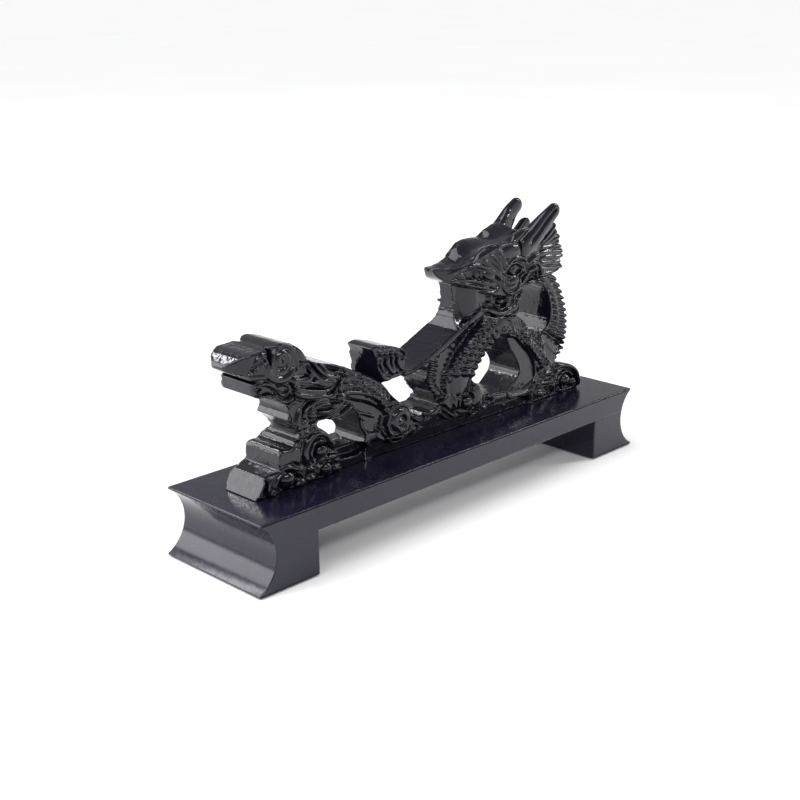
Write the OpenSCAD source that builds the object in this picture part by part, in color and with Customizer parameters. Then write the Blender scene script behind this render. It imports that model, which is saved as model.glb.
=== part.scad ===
// Desk rest: a through-carved dragon standing on a low bench with scooped ends.
// +X runs along the bench towards the big head, +Z is up, and the origin is on
// the ground below the middle of the bench. The carving is alike on both sides.

/* [Bench] */
// Length of the bench along its top edge
bench_l = 250; // [240:1:280]
// Width of the bench from side to side
bench_w = 62.5; // [50:0.5:80]
// Height of the bench, from under its feet to its top
bench_h = 31.3; // [28:0.1:40]
// Thickness of the board between the feet
board_t = 11.2; // [10:0.1:12]
// Length of each foot along its flat underside
foot_l = 32.6; // [28:0.1:36]
// How much further the underside of each end reaches than its top edge
end_flare = 2; // [1:0.1:4]
// Depth of the round hollow in each end
end_hollow = 8.6; // [4:0.1:10]
// Height of the small upright lip above and below the hollow
end_lip = 1; // [0.5:0.1:2]
// Thickness of the felt pads under the feet
pad_t = 0.6; // [0.4:0.1:1.5]

/* [Carving] */
// Thickness of the dragon's body from side to side
body_t = 23; // [21:0.5:25]
// Thickness of the two surfaces that something rests on, the claw and the saddle
rest_t = 19; // [16:0.5:22]
// Thickness of the big head across its cheeks
head_t = 25; // [24:0.5:28]
// Thickness of its snout
snout_t = 17; // [14:0.5:20]
// Thickness of the cloud scrolls
scroll_t = 25; // [22:0.5:28]
// Thickness of the rock plinth between the scrolls
plinth_t = 17; // [15:0.5:20]
// Size of the pearls in the clouds, as a share of their drawn size
pearl_scale = 1; // [0.8:0.05:1]

/* [Fixings] */
// Radius of the wood screws that hold the carving
screw_r = 2; // [1.5:0.1:2.2]
// Length of those screws
screw_l = 18; // [15:0.5:19]
// Radius of the dowels that hold the feet
dowel_r = 4; // [3:0.1:5]
// Length of those dowels
dowel_l = 16; // [10:0.5:18]

/* [Hidden] */

$fn = 64;
lacquer = "#15151b";
// The outlines below count heights from under a bench of this height
drawn_bench_h = 31.3;
// Pieces of curve between two points of an outline
curve_steps = 4;

bench_top = pad_t + bench_h;
board_z = bench_top - board_t;
foot_h = bench_h - board_t;
carve_lift = bench_top - drawn_bench_h;
foot_x = bench_l / 2 + end_flare;
foot_mid_x = foot_x - foot_l / 2;

// The hollow is an arc over a chord that leans out by end_flare
hollow_drop = bench_h - 2 * end_lip;
hollow_chord = sqrt(hollow_drop * hollow_drop + end_flare * end_flare);
hollow_r = (hollow_chord * hollow_chord / 4 + end_hollow * end_hollow) / (2 * end_hollow);
hollow_lean = atan2(end_flare, hollow_drop);
hollow_x = bench_l / 2 + end_flare / 2 + (hollow_r - end_hollow) * cos(hollow_lean);
hollow_z = pad_t + bench_h / 2 + (hollow_r - end_hollow) * sin(hollow_lean);

screw_xs = [-95, 12, 78];
// Depth of a screw's sloping head, and the room left round a screw in the board
head_drop = 1.1 * screw_r;
screw_room = 0.25;
slot_w = 0.7;
slot_deep = 1.2;
dowel_y = 17;
pad_r = 6;
pad_y = bench_w / 2 - 11;
pad_x = bench_l / 2 - 13;
// How far from the centre plane each side piece of the head starts and ends
horn_reach = [8, 14];
ear_reach = [5, 12];
mane_reach = [0, 12];
eye_x = 51;
eye_z = 103.6;
eye_r = 2.6;
eye_in = head_t / 2 - 4;

// From which x to which x the plinth is wider
wide_spans = [[-81.5, -60.5], [68, 88]];

// [x, z, radius] of each pearl
pearls = [[-93, 37, 4.4], [-70.5, 35.6, 3.4], [95.6, 38.4, 3.8], [102.4, 35.8, 2.9]];
// How far a pearl's round middle and its flat seat are from the centre plane
pearl_reach = 10;
pearl_seat = 7;

// ---- Curves -------------------------------------------------------------

function at(p, i) = p[(i + len(p)) % len(p)];
function flat(q) = [q[0], q[1]];
function is_corner(q) = len(q) > 2;

// Direction of the curve at a point. A point with a third value is a corner.
function heading(p, i) =
    let (way = flat(at(p, i + 1)) - flat(at(p, i - 1)))
    is_corner(at(p, i)) || norm(way) == 0 ? [0, 0] : way / norm(way);

function blend(a, b, ta, tb, s) =
    a * (2 * s * s * s - 3 * s * s + 1) + ta * (s * s * s - 2 * s * s + s)
    + b * (3 * s * s - 2 * s * s * s) + tb * (s * s * s - s * s);

// Smooth closed outline through the points
function outline(p) = [
    for (i = [0 : len(p) - 1])
        let (
            a = flat(at(p, i)),
            b = flat(at(p, i + 1)),
            ta = heading(p, i) * norm(b - a),
            tb = heading(p, i + 1) * norm(b - a),
            steps = is_corner(at(p, i)) && is_corner(at(p, i + 1)) ? 1 : curve_steps
        )
        for (k = [0 : steps - 1]) blend(a, b, ta, tb, k / steps)
];

// ---- Outlines in the X-Z plane -------------------------------------------

module left_post_area() {
    polygon(outline([
        [-110.5, 31.3, 1], [-105.2, 40.2, 1], [-98, 42, 1], [-97.4, 48.6], [-96, 50.4],
        [-91.5, 50, 1], [-89.4, 50.8], [-88.5, 52.4, 1], [-86, 52.6, 1], [-85.4, 54.2],
        [-86.6, 58], [-91.6, 62.2, 1], [-90.2, 66], [-91.4, 69, 1], [-84.6, 72, 1],
        [-80, 68, 1], [-80, 54, 1], [-83.2, 52, 1], [-83.2, 38.7, 1], [-81.5, 38.7, 1],
        [-81.5, 31.3, 1]
    ]));
}

module left_scroll_area() {
    polygon(outline([
        [-84.6, 50], [-83.4, 54.6], [-79.6, 56.6], [-76, 56], [-71, 52.6], [-68, 48],
        [-65.6, 43.6], [-63.4, 41, 1], [-63.2, 39.4, 1], [-76, 38.4], [-83, 38.6, 1],
        [-84.6, 44]
    ]));
}

module small_head_area() {
    polygon(outline([
        [-110, 83.6, 1], [-113, 86.4], [-117, 87.4], [-118.8, 89], [-117.4, 91.6], [-112, 94.4],
        [-104, 95], [-99.6, 95.6, 1], [-95, 96.6], [-91, 96], [-88.4, 95.2, 1], [-84.4, 92], [-80.6, 87.2], [-78, 85.6, 1],
        [-84, 80, 1], [-90, 78.6], [-95, 79], [-101, 81.4], [-105, 83]
    ]));
}

// The small head seen from above: its nose ends in a blunt leaf
module small_head_plan() {
    wide_y = body_t / 2 + 2;
    polygon(outline([
        [-119.4, 0], [-118.4, 4.4], [-115.8, 8.2], [-111, body_t / 2 - 0.6], [-105, wide_y, 1],
        [-70, wide_y, 1], [-70, -wide_y, 1], [-105, -wide_y, 1], [-111, 0.6 - body_t / 2],
        [-115.8, -8.2], [-118.4, -4.4]
    ]));
}

module small_jaw_area() {
    polygon(outline([
        [-109.6, 82, 1], [-109.4, 77, 1], [-107, 75.6], [-101, 75, 1], [-98, 73.4],
        [-94, 70.6], [-89, 71, 1], [-86, 76, 1], [-88, 82, 1], [-105, 84, 1]
    ]));
}

module small_mane_area() {
    polygon(outline([
        [-88, 79, 1], [-82, 84, 1], [-78.4, 85.6, 1], [-74.6, 84], [-68, 82.2], [-62, 80],
        [-59.6, 76, 1], [-62.6, 72.4], [-63.6, 68], [-66, 66.4], [-72, 67.4], [-80, 69.6],
        [-88, 72, 1]
    ]));
}

module beard_swirl_area() {
    polygon(outline([
        [-84.6, 72, 1], [-60, 70, 1], [-60, 67], [-56.6, 63.6], [-53.6, 60], [-58, 57.4],
        [-65, 56.2], [-71, 57.6], [-74.4, 57.6], [-76, 54, 1], [-82, 54, 1],
        [-82.4, 62]
    ]));
}

module neck_band_area() {
    polygon(outline([
        [-70, 80, 1], [-62, 80], [-55, 76.8], [-45, 72], [-35.4, 66, 1], [-33.2, 62],
        [-30, 58.6], [-26, 55.2], [-22, 53], [-18, 49.2], [-14, 45.6], [-10, 43.6, 1],
        [-10, 41, 1], [-48, 40.6, 1], [-46.6, 44], [-49.2, 48], [-50.2, 52],
        [-51.6, 56], [-54.4, 59, 1], [-66, 62, 1], [-70, 70, 1]
    ]));
}

module middle_scroll_area() {
    translate([-27, 45.6]) circle(r = 8.8);
}

module right_scroll_area() {
    union() {
        translate([20.4, 45.4]) circle(r = 9);
        translate([25.4, 41.6]) circle(r = 6.4);
    }
}

module claw_rest_area() {
    polygon(outline([
        [-40.4, 82.2, 1], [-38.4, 78.4], [-37.4, 73.4], [-35.6, 67.6], [-34.8, 65.2, 1],
        [-20.2, 66, 1], [-19.2, 71.2, 1], [-19.8, 75.6], [-22.4, 79], [-26.4, 80.6],
        [-31.4, 82], [-36.4, 83]
    ]));
}

module saddle_area() {
    polygon(outline([
        [-21, 67.4, 1], [-14.6, 68.4], [-7.6, 71], [2.4, 75.4], [12.4, 79.8],
        [22.4, 84.4], [32.4, 88.8], [38, 91.4, 1], [39, 87, 1], [32, 84.6], [22, 80],
        [12, 75.4], [2, 71], [-6, 68.4], [-14, 66.2], [-21, 65.4, 1]
    ]));
}

module throat_area() {
    polygon(outline([
        [13, 79, 1], [15.4, 85], [16.6, 91], [16.2, 97], [15, 103, 1], [34, 99, 1], [37, 88, 1]
    ]));
}

// The throat seen from above: it narrows towards the saddle notch
module throat_plan() {
    near_y = rest_t / 2 - 5;
    wide_y = rest_t / 2 - 0.4;
    polygon(outline([
        [12, near_y, 1], [16, near_y + 0.4], [19, near_y + 2.8], [22, wide_y - 0.6],
        [27, wide_y, 1], [40, wide_y, 1], [40, -wide_y, 1], [27, -wide_y, 1],
        [22, 0.6 - wide_y], [19, -near_y - 2.8], [16, -near_y - 0.4], [12, -near_y, 1]
    ]));
}

module breast_area() {
    polygon(outline([
        [-4, 69.6, 1], [-3.6, 67], [-4.6, 63], [-5, 59], [-2.6, 54.4], [1, 50],
        [1.6, 46, 1], [12, 46, 1], [40, 80, 1], [38, 88, 1], [10, 77, 1]
    ]));
}

module front_coil_area() {
    polygon(outline([
        [45, 71.8, 1], [45, 81.2, 1], [40, 82.6], [35, 82.6], [29, 79.6], [22, 75],
        [15, 70], [10, 65], [7.4, 60], [6.6, 55], [8, 48, 1], [26, 46, 1], [24, 54, 1],
        [28, 60.4], [32.4, 65.4], [38, 70]
    ]));
}

module rear_coil_area() {
    polygon(outline([
        [45, 71.8, 1], [45, 81.2, 1], [50, 81], [55, 80], [60, 77], [63, 72.6],
        [66.4, 68.2], [70.4, 65], [76, 62.6], [82, 57.6], [87.6, 51.4], [88.4, 48, 1],
        [80, 44, 1], [70, 42, 1], [70.6, 46], [70.8, 50.4], [68, 57], [62, 62.6],
        [55, 69]
    ]));
}

// Thinner web that fills the right side of the coil's loop
module coil_web_area() {
    polygon(outline([
        [50, 42.4, 1], [54.4, 45], [57.6, 47.4], [59.4, 50.4], [58.8, 53.6], [56, 58],
        [52.6, 64], [49, 71.5, 1], [58, 70, 1], [68, 60, 1], [74, 50, 1], [72, 42, 1],
        [66, 40, 1], [52, 40, 1]
    ]));
}

module hind_claw_area() {
    polygon(outline([
        [70.6, 38, 1], [71, 43, 1], [75, 45.4], [81, 46.4], [85, 44], [84.6, 38, 1]
    ]));
}

module back_arch_area() {
    polygon(outline([
        [70, 93.8], [75.6, 91.6], [79, 87], [81, 80.6], [81.2, 73.6], [78.4, 67],
        [73, 62, 1], [84, 50, 1], [88.4, 48, 1], [90, 51.6], [93.4, 55], [95.6, 60],
        [96.6, 67], [95.4, 75], [93, 82], [89, 90.4], [84.6, 97, 1], [72, 99, 1],
        [66, 94, 1]
    ]));
}

module end_cloud_area() {
    polygon(outline([
        [84.6, 31.3, 1], [84.6, 44.4, 1], [88, 49], [94, 47.6], [101, 45.2], [106.6, 41],
        [108.6, 36], [107.8, 32.4], [107, 31.3, 1]
    ]));
}

module big_head_area() {
    polygon(outline([
        [4.4, 112, 1], [12, 110.6], [20, 110.6], [25, 111.8], [29, 115], [33, 117], [39, 117.8],
        [46, 117.8], [50, 117.6], [53.4, 120.2], [59, 121.6], [64, 122.6, 1], [72, 114, 1], [71.6, 104], [73, 97.6, 1],
        [66, 93.6, 1], [60.6, 94, 1], [56, 95.4], [50, 91.8], [45, 93.6], [40, 95],
        [30, 97], [20, 99.8], [12, 102.4], [7.4, 105], [4.6, 109]
    ]));
}

// The head seen from above: a narrow nose that widens to the cheeks
module head_plan() {
    polygon(outline([
        [4.2, 0], [6.4, snout_t / 3], [13, snout_t / 2 - 0.6], [24, snout_t / 2 + 0.6],
        [34, head_t / 2 - 2], [41, head_t / 2, 1], [80, head_t / 2, 1], [80, -head_t / 2, 1],
        [41, -head_t / 2, 1], [34, 2 - head_t / 2], [24, -snout_t / 2 - 0.6],
        [13, 0.6 - snout_t / 2], [6.4, -snout_t / 3]
    ]));
}

module lower_jaw_area() {
    polygon(outline([
        [32, 90.4, 1], [33, 87], [38, 83.8], [45, 81.4], [50, 82], [56.4, 83.4, 1],
        [57.2, 87], [60.4, 90], [61, 94, 1], [56, 98, 1], [44, 98, 1], [31, 98, 1]
    ]));
}

module horn_area() {
    polygon(outline([
        [58, 118, 1], [62.4, 121.8], [66.4, 124.8], [71.6, 129], [75.6, 131.4], [79.2, 132],
        [83, 131], [85, 128.2], [82.6, 123], [76, 117], [69, 110, 1], [60, 112, 1]
    ]));
}

module ear_area() {
    polygon(outline([
        [68, 108, 1], [77, 116.6, 1], [83.8, 122, 1], [85.6, 120], [85, 117.4, 1],
        [88, 115], [88.6, 112.4], [87, 110.8, 1], [72, 109, 1]
    ]));
}

module mane_area() {
    polygon(outline([
        [70, 110.4, 1], [87, 110.8, 1], [90.6, 109], [91.4, 106.4, 1], [91.8, 104, 1],
        [89.6, 101.8, 1], [91.6, 98.6, 1], [84, 96.6, 1], [74, 95.6, 1], [68, 95, 1]
    ]));
}

module plinth_area() {
    polygon(outline([
        [-81.5, 31.3, 1], [-81.5, 39, 1], [-63, 40.7, 1], [-48, 40.7, 1], [-46, 42.6, 1],
        [-12, 42.6, 1], [-9, 45.6, 1], [-1, 45.8, 1], [3, 47.4, 1], [12, 47, 1],
        [30, 46, 1], [33, 44.4, 1], [38, 43.6, 1], [50, 42.6, 1], [52, 41, 1],
        [66, 40.7, 1], [71, 43, 1], [76, 44, 1], [84.6, 42, 1], [84.6, 31.3, 1]
    ]));
}

// ---- Shared solids --------------------------------------------------------

// An outline carved right through, thickness t, and even about the centre plane
module carved(t) {
    translate([0, 0, carve_lift])
        rotate([90, 0, 0])
            linear_extrude(height = t, center = true) children();
}

// An outline carved on one side only, from y_in to y_out away from the centre plane.
// side is -1 for the near side and 1 for the far side.
module carved_side(side, y_in, y_out) {
    translate([0, side * (y_in + y_out) / 2, carve_lift])
        rotate([90, 0, 0])
            linear_extrude(height = y_out - y_in, center = true) children();
}

// Round holes that the pearls sit in, and the straight part of each pearl
module pearl_seats(reach) {
    for (p = pearls, side = [-1, 1])
        translate([p[0], side * (pearl_seat + reach) / 2, p[1] + carve_lift])
            rotate([90, 0, 0]) cylinder(r = p[2] * pearl_scale, h = reach - pearl_seat, center = true);
}

module pearl_domes() {
    for (p = pearls, side = [-1, 1])
        translate([p[0], side * pearl_reach, p[1] + carve_lift]) sphere(r = p[2] * pearl_scale);
}

// Round hole that an eye sits in, and the straight part of the eye
module eye_seat(side, reach) {
    translate([eye_x, side * (eye_in + reach) / 2, eye_z + carve_lift])
        rotate([90, 0, 0]) cylinder(r = eye_r, h = reach - eye_in, center = true);
}

module eye_ball(side) {
    eye_out = head_t / 2 - 1;
    eye_seat(side, eye_out);
    translate([eye_x, side * eye_out, eye_z + carve_lift])
        rotate([-side * 90, 0, 0])
            rotate_extrude() intersection() {
                scale([1, 0.6]) circle(r = eye_r);
                square(eye_r);
            }
}

// A cylinder across the bench that scoops one end. side is -1 or 1.
module end_scoop(side) {
    translate([side * hollow_x, 0, hollow_z])
        rotate([90, 0, 0]) cylinder(r = hollow_r, h = bench_w + 2, center = true, $fn = 96);
}

module foot_dowel_pins(r, h) {
    for (side = [-1, 1], y = [-dowel_y, dowel_y])
        translate([side * foot_mid_x, y, board_z - h / 2]) cylinder(r = r, h = h);
}

module screw_shanks(r) {
    for (x = screw_xs)
        translate([x, 0, board_z]) cylinder(r = r, h = screw_l);
}

// ---- Bench ----------------------------------------------------------------

module bench_board() {
    color(lacquer) difference() {
        translate([-bench_l / 2 - end_flare, -bench_w / 2, board_z])
            cube([bench_l + 2 * end_flare, bench_w, board_t]);
        for (side = [-1, 1]) {
            end_scoop(side);
            // the top edge stands back from the flare below it
            translate([side * (bench_l / 2 + end_flare), 0, board_z + board_t / 2])
                cube([2 * end_flare, bench_w + 2, board_t + 2], center = true);
        }
        foot_dowel_pins(dowel_r, dowel_l);
        for (x = screw_xs) {
            translate([x, 0, board_z - 1]) cylinder(r = screw_r + screw_room, h = board_t + 2);
            translate([x, 0, board_z])
                cylinder(r1 = 2 * screw_r + screw_room, r2 = screw_r + screw_room, h = head_drop);
        }
    }
}

module bench_foot(side) {
    difference() {
        translate([side * foot_mid_x - foot_l / 2, -bench_w / 2, pad_t])
            cube([foot_l, bench_w, foot_h]);
        end_scoop(side);
        foot_dowel_pins(dowel_r, dowel_l);
    }
}

module left_foot() {
    color(lacquer) bench_foot(-1);
}

module right_foot() {
    color(lacquer) bench_foot(1);
}

module foot_dowels() {
    color("tan") foot_dowel_pins(dowel_r, dowel_l);
}

module foot_pads() {
    color("#202020")
        for (x = [-pad_x, pad_x], y = [-pad_y, pad_y])
            translate([x, y, 0]) cylinder(r = pad_r, h = pad_t);
}

module carving_screws() {
    color("goldenrod") difference() {
        union() {
            screw_shanks(screw_r);
            for (x = screw_xs)
                translate([x, 0, board_z]) cylinder(r1 = 2 * screw_r, r2 = screw_r, h = head_drop);
        }
        for (x = screw_xs, turn = [0, 90])
            translate([x, 0, board_z])
                rotate([0, 0, turn]) cube([screw_r * 2.4, slot_w, 2 * slot_deep], center = true);
    }
}

// ---- Clouds and rocks -------------------------------------------------------

module rock_plinth() {
    color(lacquer) difference() {
        union() {
            carved(plinth_t) plinth_area();
            // wider where scrolls and the hind claw stand on it
            carved(scroll_t - 3) intersection() {
                plinth_area();
                for (span = wide_spans)
                    translate([span[0], 0]) square([span[1] - span[0], bench_top + 20]);
            }
        }
        carved(scroll_t + 2) union() {
            left_scroll_area();
            middle_scroll_area();
            right_scroll_area();
            hind_claw_area();
        }
        carved(plinth_t + 2) union() {
            neck_band_area();
            rear_coil_area();
        }
        pearl_seats(16);
        screw_shanks(screw_r);
    }
}

module left_post() {
    color(lacquer) difference() {
        carved(body_t) difference() {
            left_post_area();
            left_scroll_area();
            beard_swirl_area();
            small_jaw_area();
        }
        pearl_seats(16);
        screw_shanks(screw_r);
    }
}

module left_scroll() {
    color(lacquer) difference() {
        carved(scroll_t) left_scroll_area();
        pearl_seats(16);
    }
}

module middle_scroll() {
    color(lacquer) carved(scroll_t) middle_scroll_area();
}

module right_scroll() {
    color(lacquer) difference() {
        carved(scroll_t) right_scroll_area();
        screw_shanks(screw_r);
    }
}

module end_cloud() {
    color(lacquer) difference() {
        carved(body_t - 1) difference() {
            end_cloud_area();
            rear_coil_area();
            back_arch_area();
            hind_claw_area();
        }
        pearl_seats(16);
    }
}

module cloud_pearls() {
    color("#1c1c24") {
        pearl_domes();
        pearl_seats(pearl_reach);
    }
}

// ---- Small head and neck ----------------------------------------------------

module small_head() {
    color(lacquer) intersection() {
        carved(body_t + 1) small_head_area();
        translate([0, 0, bench_top]) linear_extrude(height = 80) small_head_plan();
    }
}

module small_jaw() {
    color(lacquer) carved(body_t) difference() {
        small_jaw_area();
        small_head_area();
    }
}

module small_mane() {
    color(lacquer) carved(body_t) difference() {
        small_mane_area();
        small_head_area();
        small_jaw_area();
    }
}

module beard_swirl() {
    color(lacquer) carved(body_t) difference() {
        beard_swirl_area();
        small_mane_area();
        small_jaw_area();
        left_scroll_area();
    }
}

module neck_band() {
    color(lacquer) carved(body_t) difference() {
        neck_band_area();
        small_mane_area();
        beard_swirl_area();
        middle_scroll_area();
        claw_rest_area();
    }
}

// ---- Rest surfaces and coils --------------------------------------------------

module claw_rest() {
    color(lacquer) carved(rest_t) claw_rest_area();
}

module saddle() {
    color(lacquer) carved(rest_t) difference() {
        saddle_area();
        claw_rest_area();
        front_coil_area();
        lower_jaw_area();
    }
}

module throat() {
    color(lacquer) intersection() {
        carved(rest_t) difference() {
            throat_area();
            saddle_area();
            big_head_area();
            lower_jaw_area();
        }
        translate([0, 0, bench_top]) linear_extrude(height = 110) throat_plan();
    }
}

module breast() {
    color(lacquer) carved(rest_t) difference() {
        breast_area();
        saddle_area();
        front_coil_area();
        right_scroll_area();
        plinth_area();
        lower_jaw_area();
    }
}

module front_coil() {
    color(lacquer) carved(body_t) difference() {
        front_coil_area();
        right_scroll_area();
        lower_jaw_area();
        plinth_area();
    }
}

module rear_coil() {
    color(lacquer) {
        carved(body_t) difference() {
            rear_coil_area();
            hind_claw_area();
            lower_jaw_area();
            back_arch_area();
        }
        carved(rest_t) difference() {
            coil_web_area();
            plinth_area();
            hind_claw_area();
        }
    }
}

module hind_claw() {
    color(lacquer) difference() {
        carved(scroll_t - 1) hind_claw_area();
        screw_shanks(screw_r);
    }
}

module back_arch() {
    color(lacquer) carved(body_t - 1) difference() {
        back_arch_area();
        big_head_area();
        mane_area();
    }
}

// ---- Big head -------------------------------------------------------------------

module big_head() {
    color(lacquer) difference() {
        intersection() {
            carved(head_t) big_head_area();
            translate([0, 0, bench_top]) linear_extrude(height = 110) head_plan();
        }
        eye_seat(-1, head_t / 2 + 1);
        eye_seat(1, head_t / 2 + 1);
    }
}

module lower_jaw() {
    color(lacquer) carved(body_t - 1) difference() {
        lower_jaw_area();
        big_head_area();
    }
}

module horn(side) {
    carved_side(side, horn_reach[0], horn_reach[1]) difference() {
        horn_area();
        big_head_area();
    }
}

module ear(side) {
    carved_side(side, ear_reach[0], ear_reach[1]) difference() {
        ear_area();
        big_head_area();
        horn_area();
    }
}

module mane(side) {
    carved_side(side, mane_reach[0], mane_reach[1]) difference() {
        mane_area();
        big_head_area();
        ear_area();
        horn_area();
    }
}

module near_horn() {
    color(lacquer) horn(-1);
}

module far_horn() {
    color(lacquer) horn(1);
}

module near_ear() {
    color(lacquer) ear(-1);
}

module far_ear() {
    color(lacquer) ear(1);
}

module near_mane() {
    color(lacquer) mane(-1);
}

module far_mane() {
    color(lacquer) mane(1);
}

module near_eye() {
    color("#24242c") eye_ball(-1);
}

module far_eye() {
    color("#24242c") eye_ball(1);
}

bench_board();
left_foot();
right_foot();
foot_dowels();
foot_pads();
carving_screws();
rock_plinth();
left_post();
left_scroll();
middle_scroll();
right_scroll();
end_cloud();
cloud_pearls();
small_head();
small_jaw();
small_mane();
beard_swirl();
neck_band();
claw_rest();
saddle();
throat();
breast();
front_coil();
rear_coil();
hind_claw();
back_arch();
big_head();
lower_jaw();
near_horn();
far_horn();
near_ear();
far_ear();
near_mane();
far_mane();
near_eye();
far_eye();
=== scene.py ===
# A carved dragon rest on a low bench: the lacquered surfaces, their relief and the studio round them.
import math

import bpy
import numpy as np
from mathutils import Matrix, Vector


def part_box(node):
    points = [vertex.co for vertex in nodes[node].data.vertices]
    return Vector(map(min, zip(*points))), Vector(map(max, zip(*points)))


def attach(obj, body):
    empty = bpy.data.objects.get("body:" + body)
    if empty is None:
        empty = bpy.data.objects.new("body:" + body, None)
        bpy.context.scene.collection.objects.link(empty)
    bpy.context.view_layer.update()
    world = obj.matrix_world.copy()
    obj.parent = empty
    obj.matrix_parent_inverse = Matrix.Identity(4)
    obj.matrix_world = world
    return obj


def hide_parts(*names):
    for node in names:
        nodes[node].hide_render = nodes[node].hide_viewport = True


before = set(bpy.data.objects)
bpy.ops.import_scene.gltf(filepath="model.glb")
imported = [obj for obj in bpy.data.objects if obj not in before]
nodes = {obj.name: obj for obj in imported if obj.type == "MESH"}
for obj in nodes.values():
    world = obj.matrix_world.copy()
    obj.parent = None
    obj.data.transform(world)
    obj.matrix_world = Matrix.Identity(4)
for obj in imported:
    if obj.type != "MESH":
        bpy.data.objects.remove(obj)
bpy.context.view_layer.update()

import openvdb
from mathutils import Matrix, Vector

MM = 0.001

# ---- Camera -----------------------------------------------------------------

CAMERA_PLACE = (-0.43098, -0.41355, 0.24275)
CAMERA_AZIMUTH = -45.18
CAMERA_ELEVATION = 18.05
CAMERA_ROLL = -0.50
CAMERA_LENS = 59.97


def make_camera():
    """A camera that looks down on the bench from the front left."""
    data = bpy.data.cameras.new("camera")
    data.lens = CAMERA_LENS
    data.sensor_width = 36
    data.clip_start = 0.01
    data.clip_end = 20
    camera = bpy.data.objects.new("camera", data)
    bpy.context.scene.collection.objects.link(camera)
    turn = math.radians(CAMERA_AZIMUTH)
    rise = math.radians(CAMERA_ELEVATION)
    back = Vector((math.sin(turn) * math.cos(rise), -math.cos(turn) * math.cos(rise), math.sin(rise)))
    right = (-back).cross(Vector((0, 0, 1))).normalized()
    up = right.cross(-back)
    roll = math.radians(CAMERA_ROLL)
    right, up = right * math.cos(roll) + up * math.sin(roll), up * math.cos(roll) - right * math.sin(roll)
    camera.matrix_world = Matrix.Translation(CAMERA_PLACE) @ Matrix((right, up, back)).transposed().to_4x4()
    bpy.context.scene.camera = camera


make_camera()

# ---- The carving as a relief --------------------------------------------------
#
# The carving is one slab sawn to an outline in X and Z and carved on both faces alike.
# RELIEF holds, over a grid of x and z in millimetres, how far each face stands from the
# slab's middle plane. Heights count from the ground under a bench without its pads.

STEP = 0.36
BOARD_TOP = 31.3     # the board's top over the ground, without pads
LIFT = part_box("rock_plinth")[0].z / MM - BOARD_TOP
GRID_X = np.arange(-122, 112, STEP)
GRID_Z = np.arange(28, 137, STEP)
SLAB = ("rock_plinth", "left_post", "left_scroll", "middle_scroll", "right_scroll", "end_cloud",
        "small_head", "small_jaw", "small_mane", "beard_swirl", "neck_band", "claw_rest", "saddle",
        "throat", "breast", "front_coil", "rear_coil", "hind_claw", "back_arch", "big_head", "lower_jaw")
GRID_Y = np.arange(-math.ceil(15 / STEP), math.ceil(15 / STEP) + 1) * STEP
FACE = 10.4          # where each face stands before it is carved
SIDE_FACE = 9.6      # the same for the ears and manes
SOFT_EDGE = 0.35     # how wide the edge of a laid shape is
LACQUER_FILL = 0.3   # how far lacquer rounds the fine corners
PIECE_LENGTH = 0.6   # the longest line piece when seams are looked for
SEAM_SIDE = 0.08     # how far beside a line piece the outlines are tried
FAR_OFF = 1e3


def section(name, y):
    """The line pieces, as (x, z) pairs in millimetres, where the plane y cuts a CAD node."""
    mesh = nodes[name].data
    mesh.calc_loop_triangles()
    places = np.empty(len(mesh.vertices) * 3)
    mesh.vertices.foreach_get("co", places)
    places = places.reshape(-1, 3) / MM
    corners = np.empty(len(mesh.loop_triangles) * 3, int)
    mesh.loop_triangles.foreach_get("vertices", corners)
    corners = corners.reshape(-1, 3)
    height = places[:, 1] - y
    found = [[], []]
    above = height[corners] > 0
    corners = corners[above.any(1) & ~above.all(1)]
    for triangle in corners:
        ends = []
        for a, b in zip(triangle, np.roll(triangle, -1)):
            if (height[a] > 0) != (height[b] > 0):
                share = height[a] / (height[a] - height[b])
                ends.append(places[a] + (places[b] - places[a]) * share)
        found[0].append(ends[0][[0, 2]])
        found[1].append(ends[1][[0, 2]])
    start, end = np.array(found[0]), np.array(found[1])
    start[:, 1] -= LIFT
    end[:, 1] -= LIFT
    return start, end


def distance_to(start, end, x, z):
    """How far each point is from the nearest of the line pieces."""
    best = np.full(x.shape, FAR_OFF)
    for (ax, az), (bx, bz) in zip(start, end):
        dx, dz = bx - ax, bz - az
        along = np.clip(((x - ax) * dx + (z - az) * dz) / (dx * dx + dz * dz + 1e-12), 0, 1)
        np.minimum(best, np.hypot(x - ax - along * dx, z - az - along * dz), out=best)
    return best


def is_inside(start, end, x, z):
    """Whether each point is inside the closed outline that the line pieces make."""
    inside = np.zeros(x.shape, bool)
    for (ax, az), (bx, bz) in zip(start, end):
        if az != bz:
            crossed = (az > z) != (bz > z)
            inside ^= crossed & (x < (bx - ax) * (z - az) / (bz - az) + ax)
    return inside


def signed_distance(start, end, x, z):
    """Distance to an outline, negative inside it."""
    gap = distance_to(start, end, x, z)
    return np.where(is_inside(start, end, x, z), -gap, gap)


def outer_pieces(outlines):
    """The line pieces of the outlines that bound them all together, without the seams between."""
    starts, ends = [], []
    for start, end in outlines:
        for a, b in zip(start, end):
            count = max(1, int(np.hypot(*(b - a)) / PIECE_LENGTH))
            marks = np.linspace(0, 1, count + 1)[:, None]
            cuts = a + (b - a) * marks
            starts.append(cuts[:-1])
            ends.append(cuts[1:])
    start, end = np.concatenate(starts), np.concatenate(ends)
    middle = (start + end) / 2
    way = end - start
    normal = np.stack([-way[:, 1], way[:, 0]], 1) / np.maximum(np.hypot(*way.T), 1e-9)[:, None]
    buried = np.ones(len(start), bool)
    for side in (-SEAM_SIDE, SEAM_SIDE):
        spot = middle + normal * side
        covered = np.zeros(len(start), bool)
        for outline in outlines:
            covered |= is_inside(*outline, spot[:, 0], spot[:, 1])
        buried &= covered
    return start[~buried], end[~buried]


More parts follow.
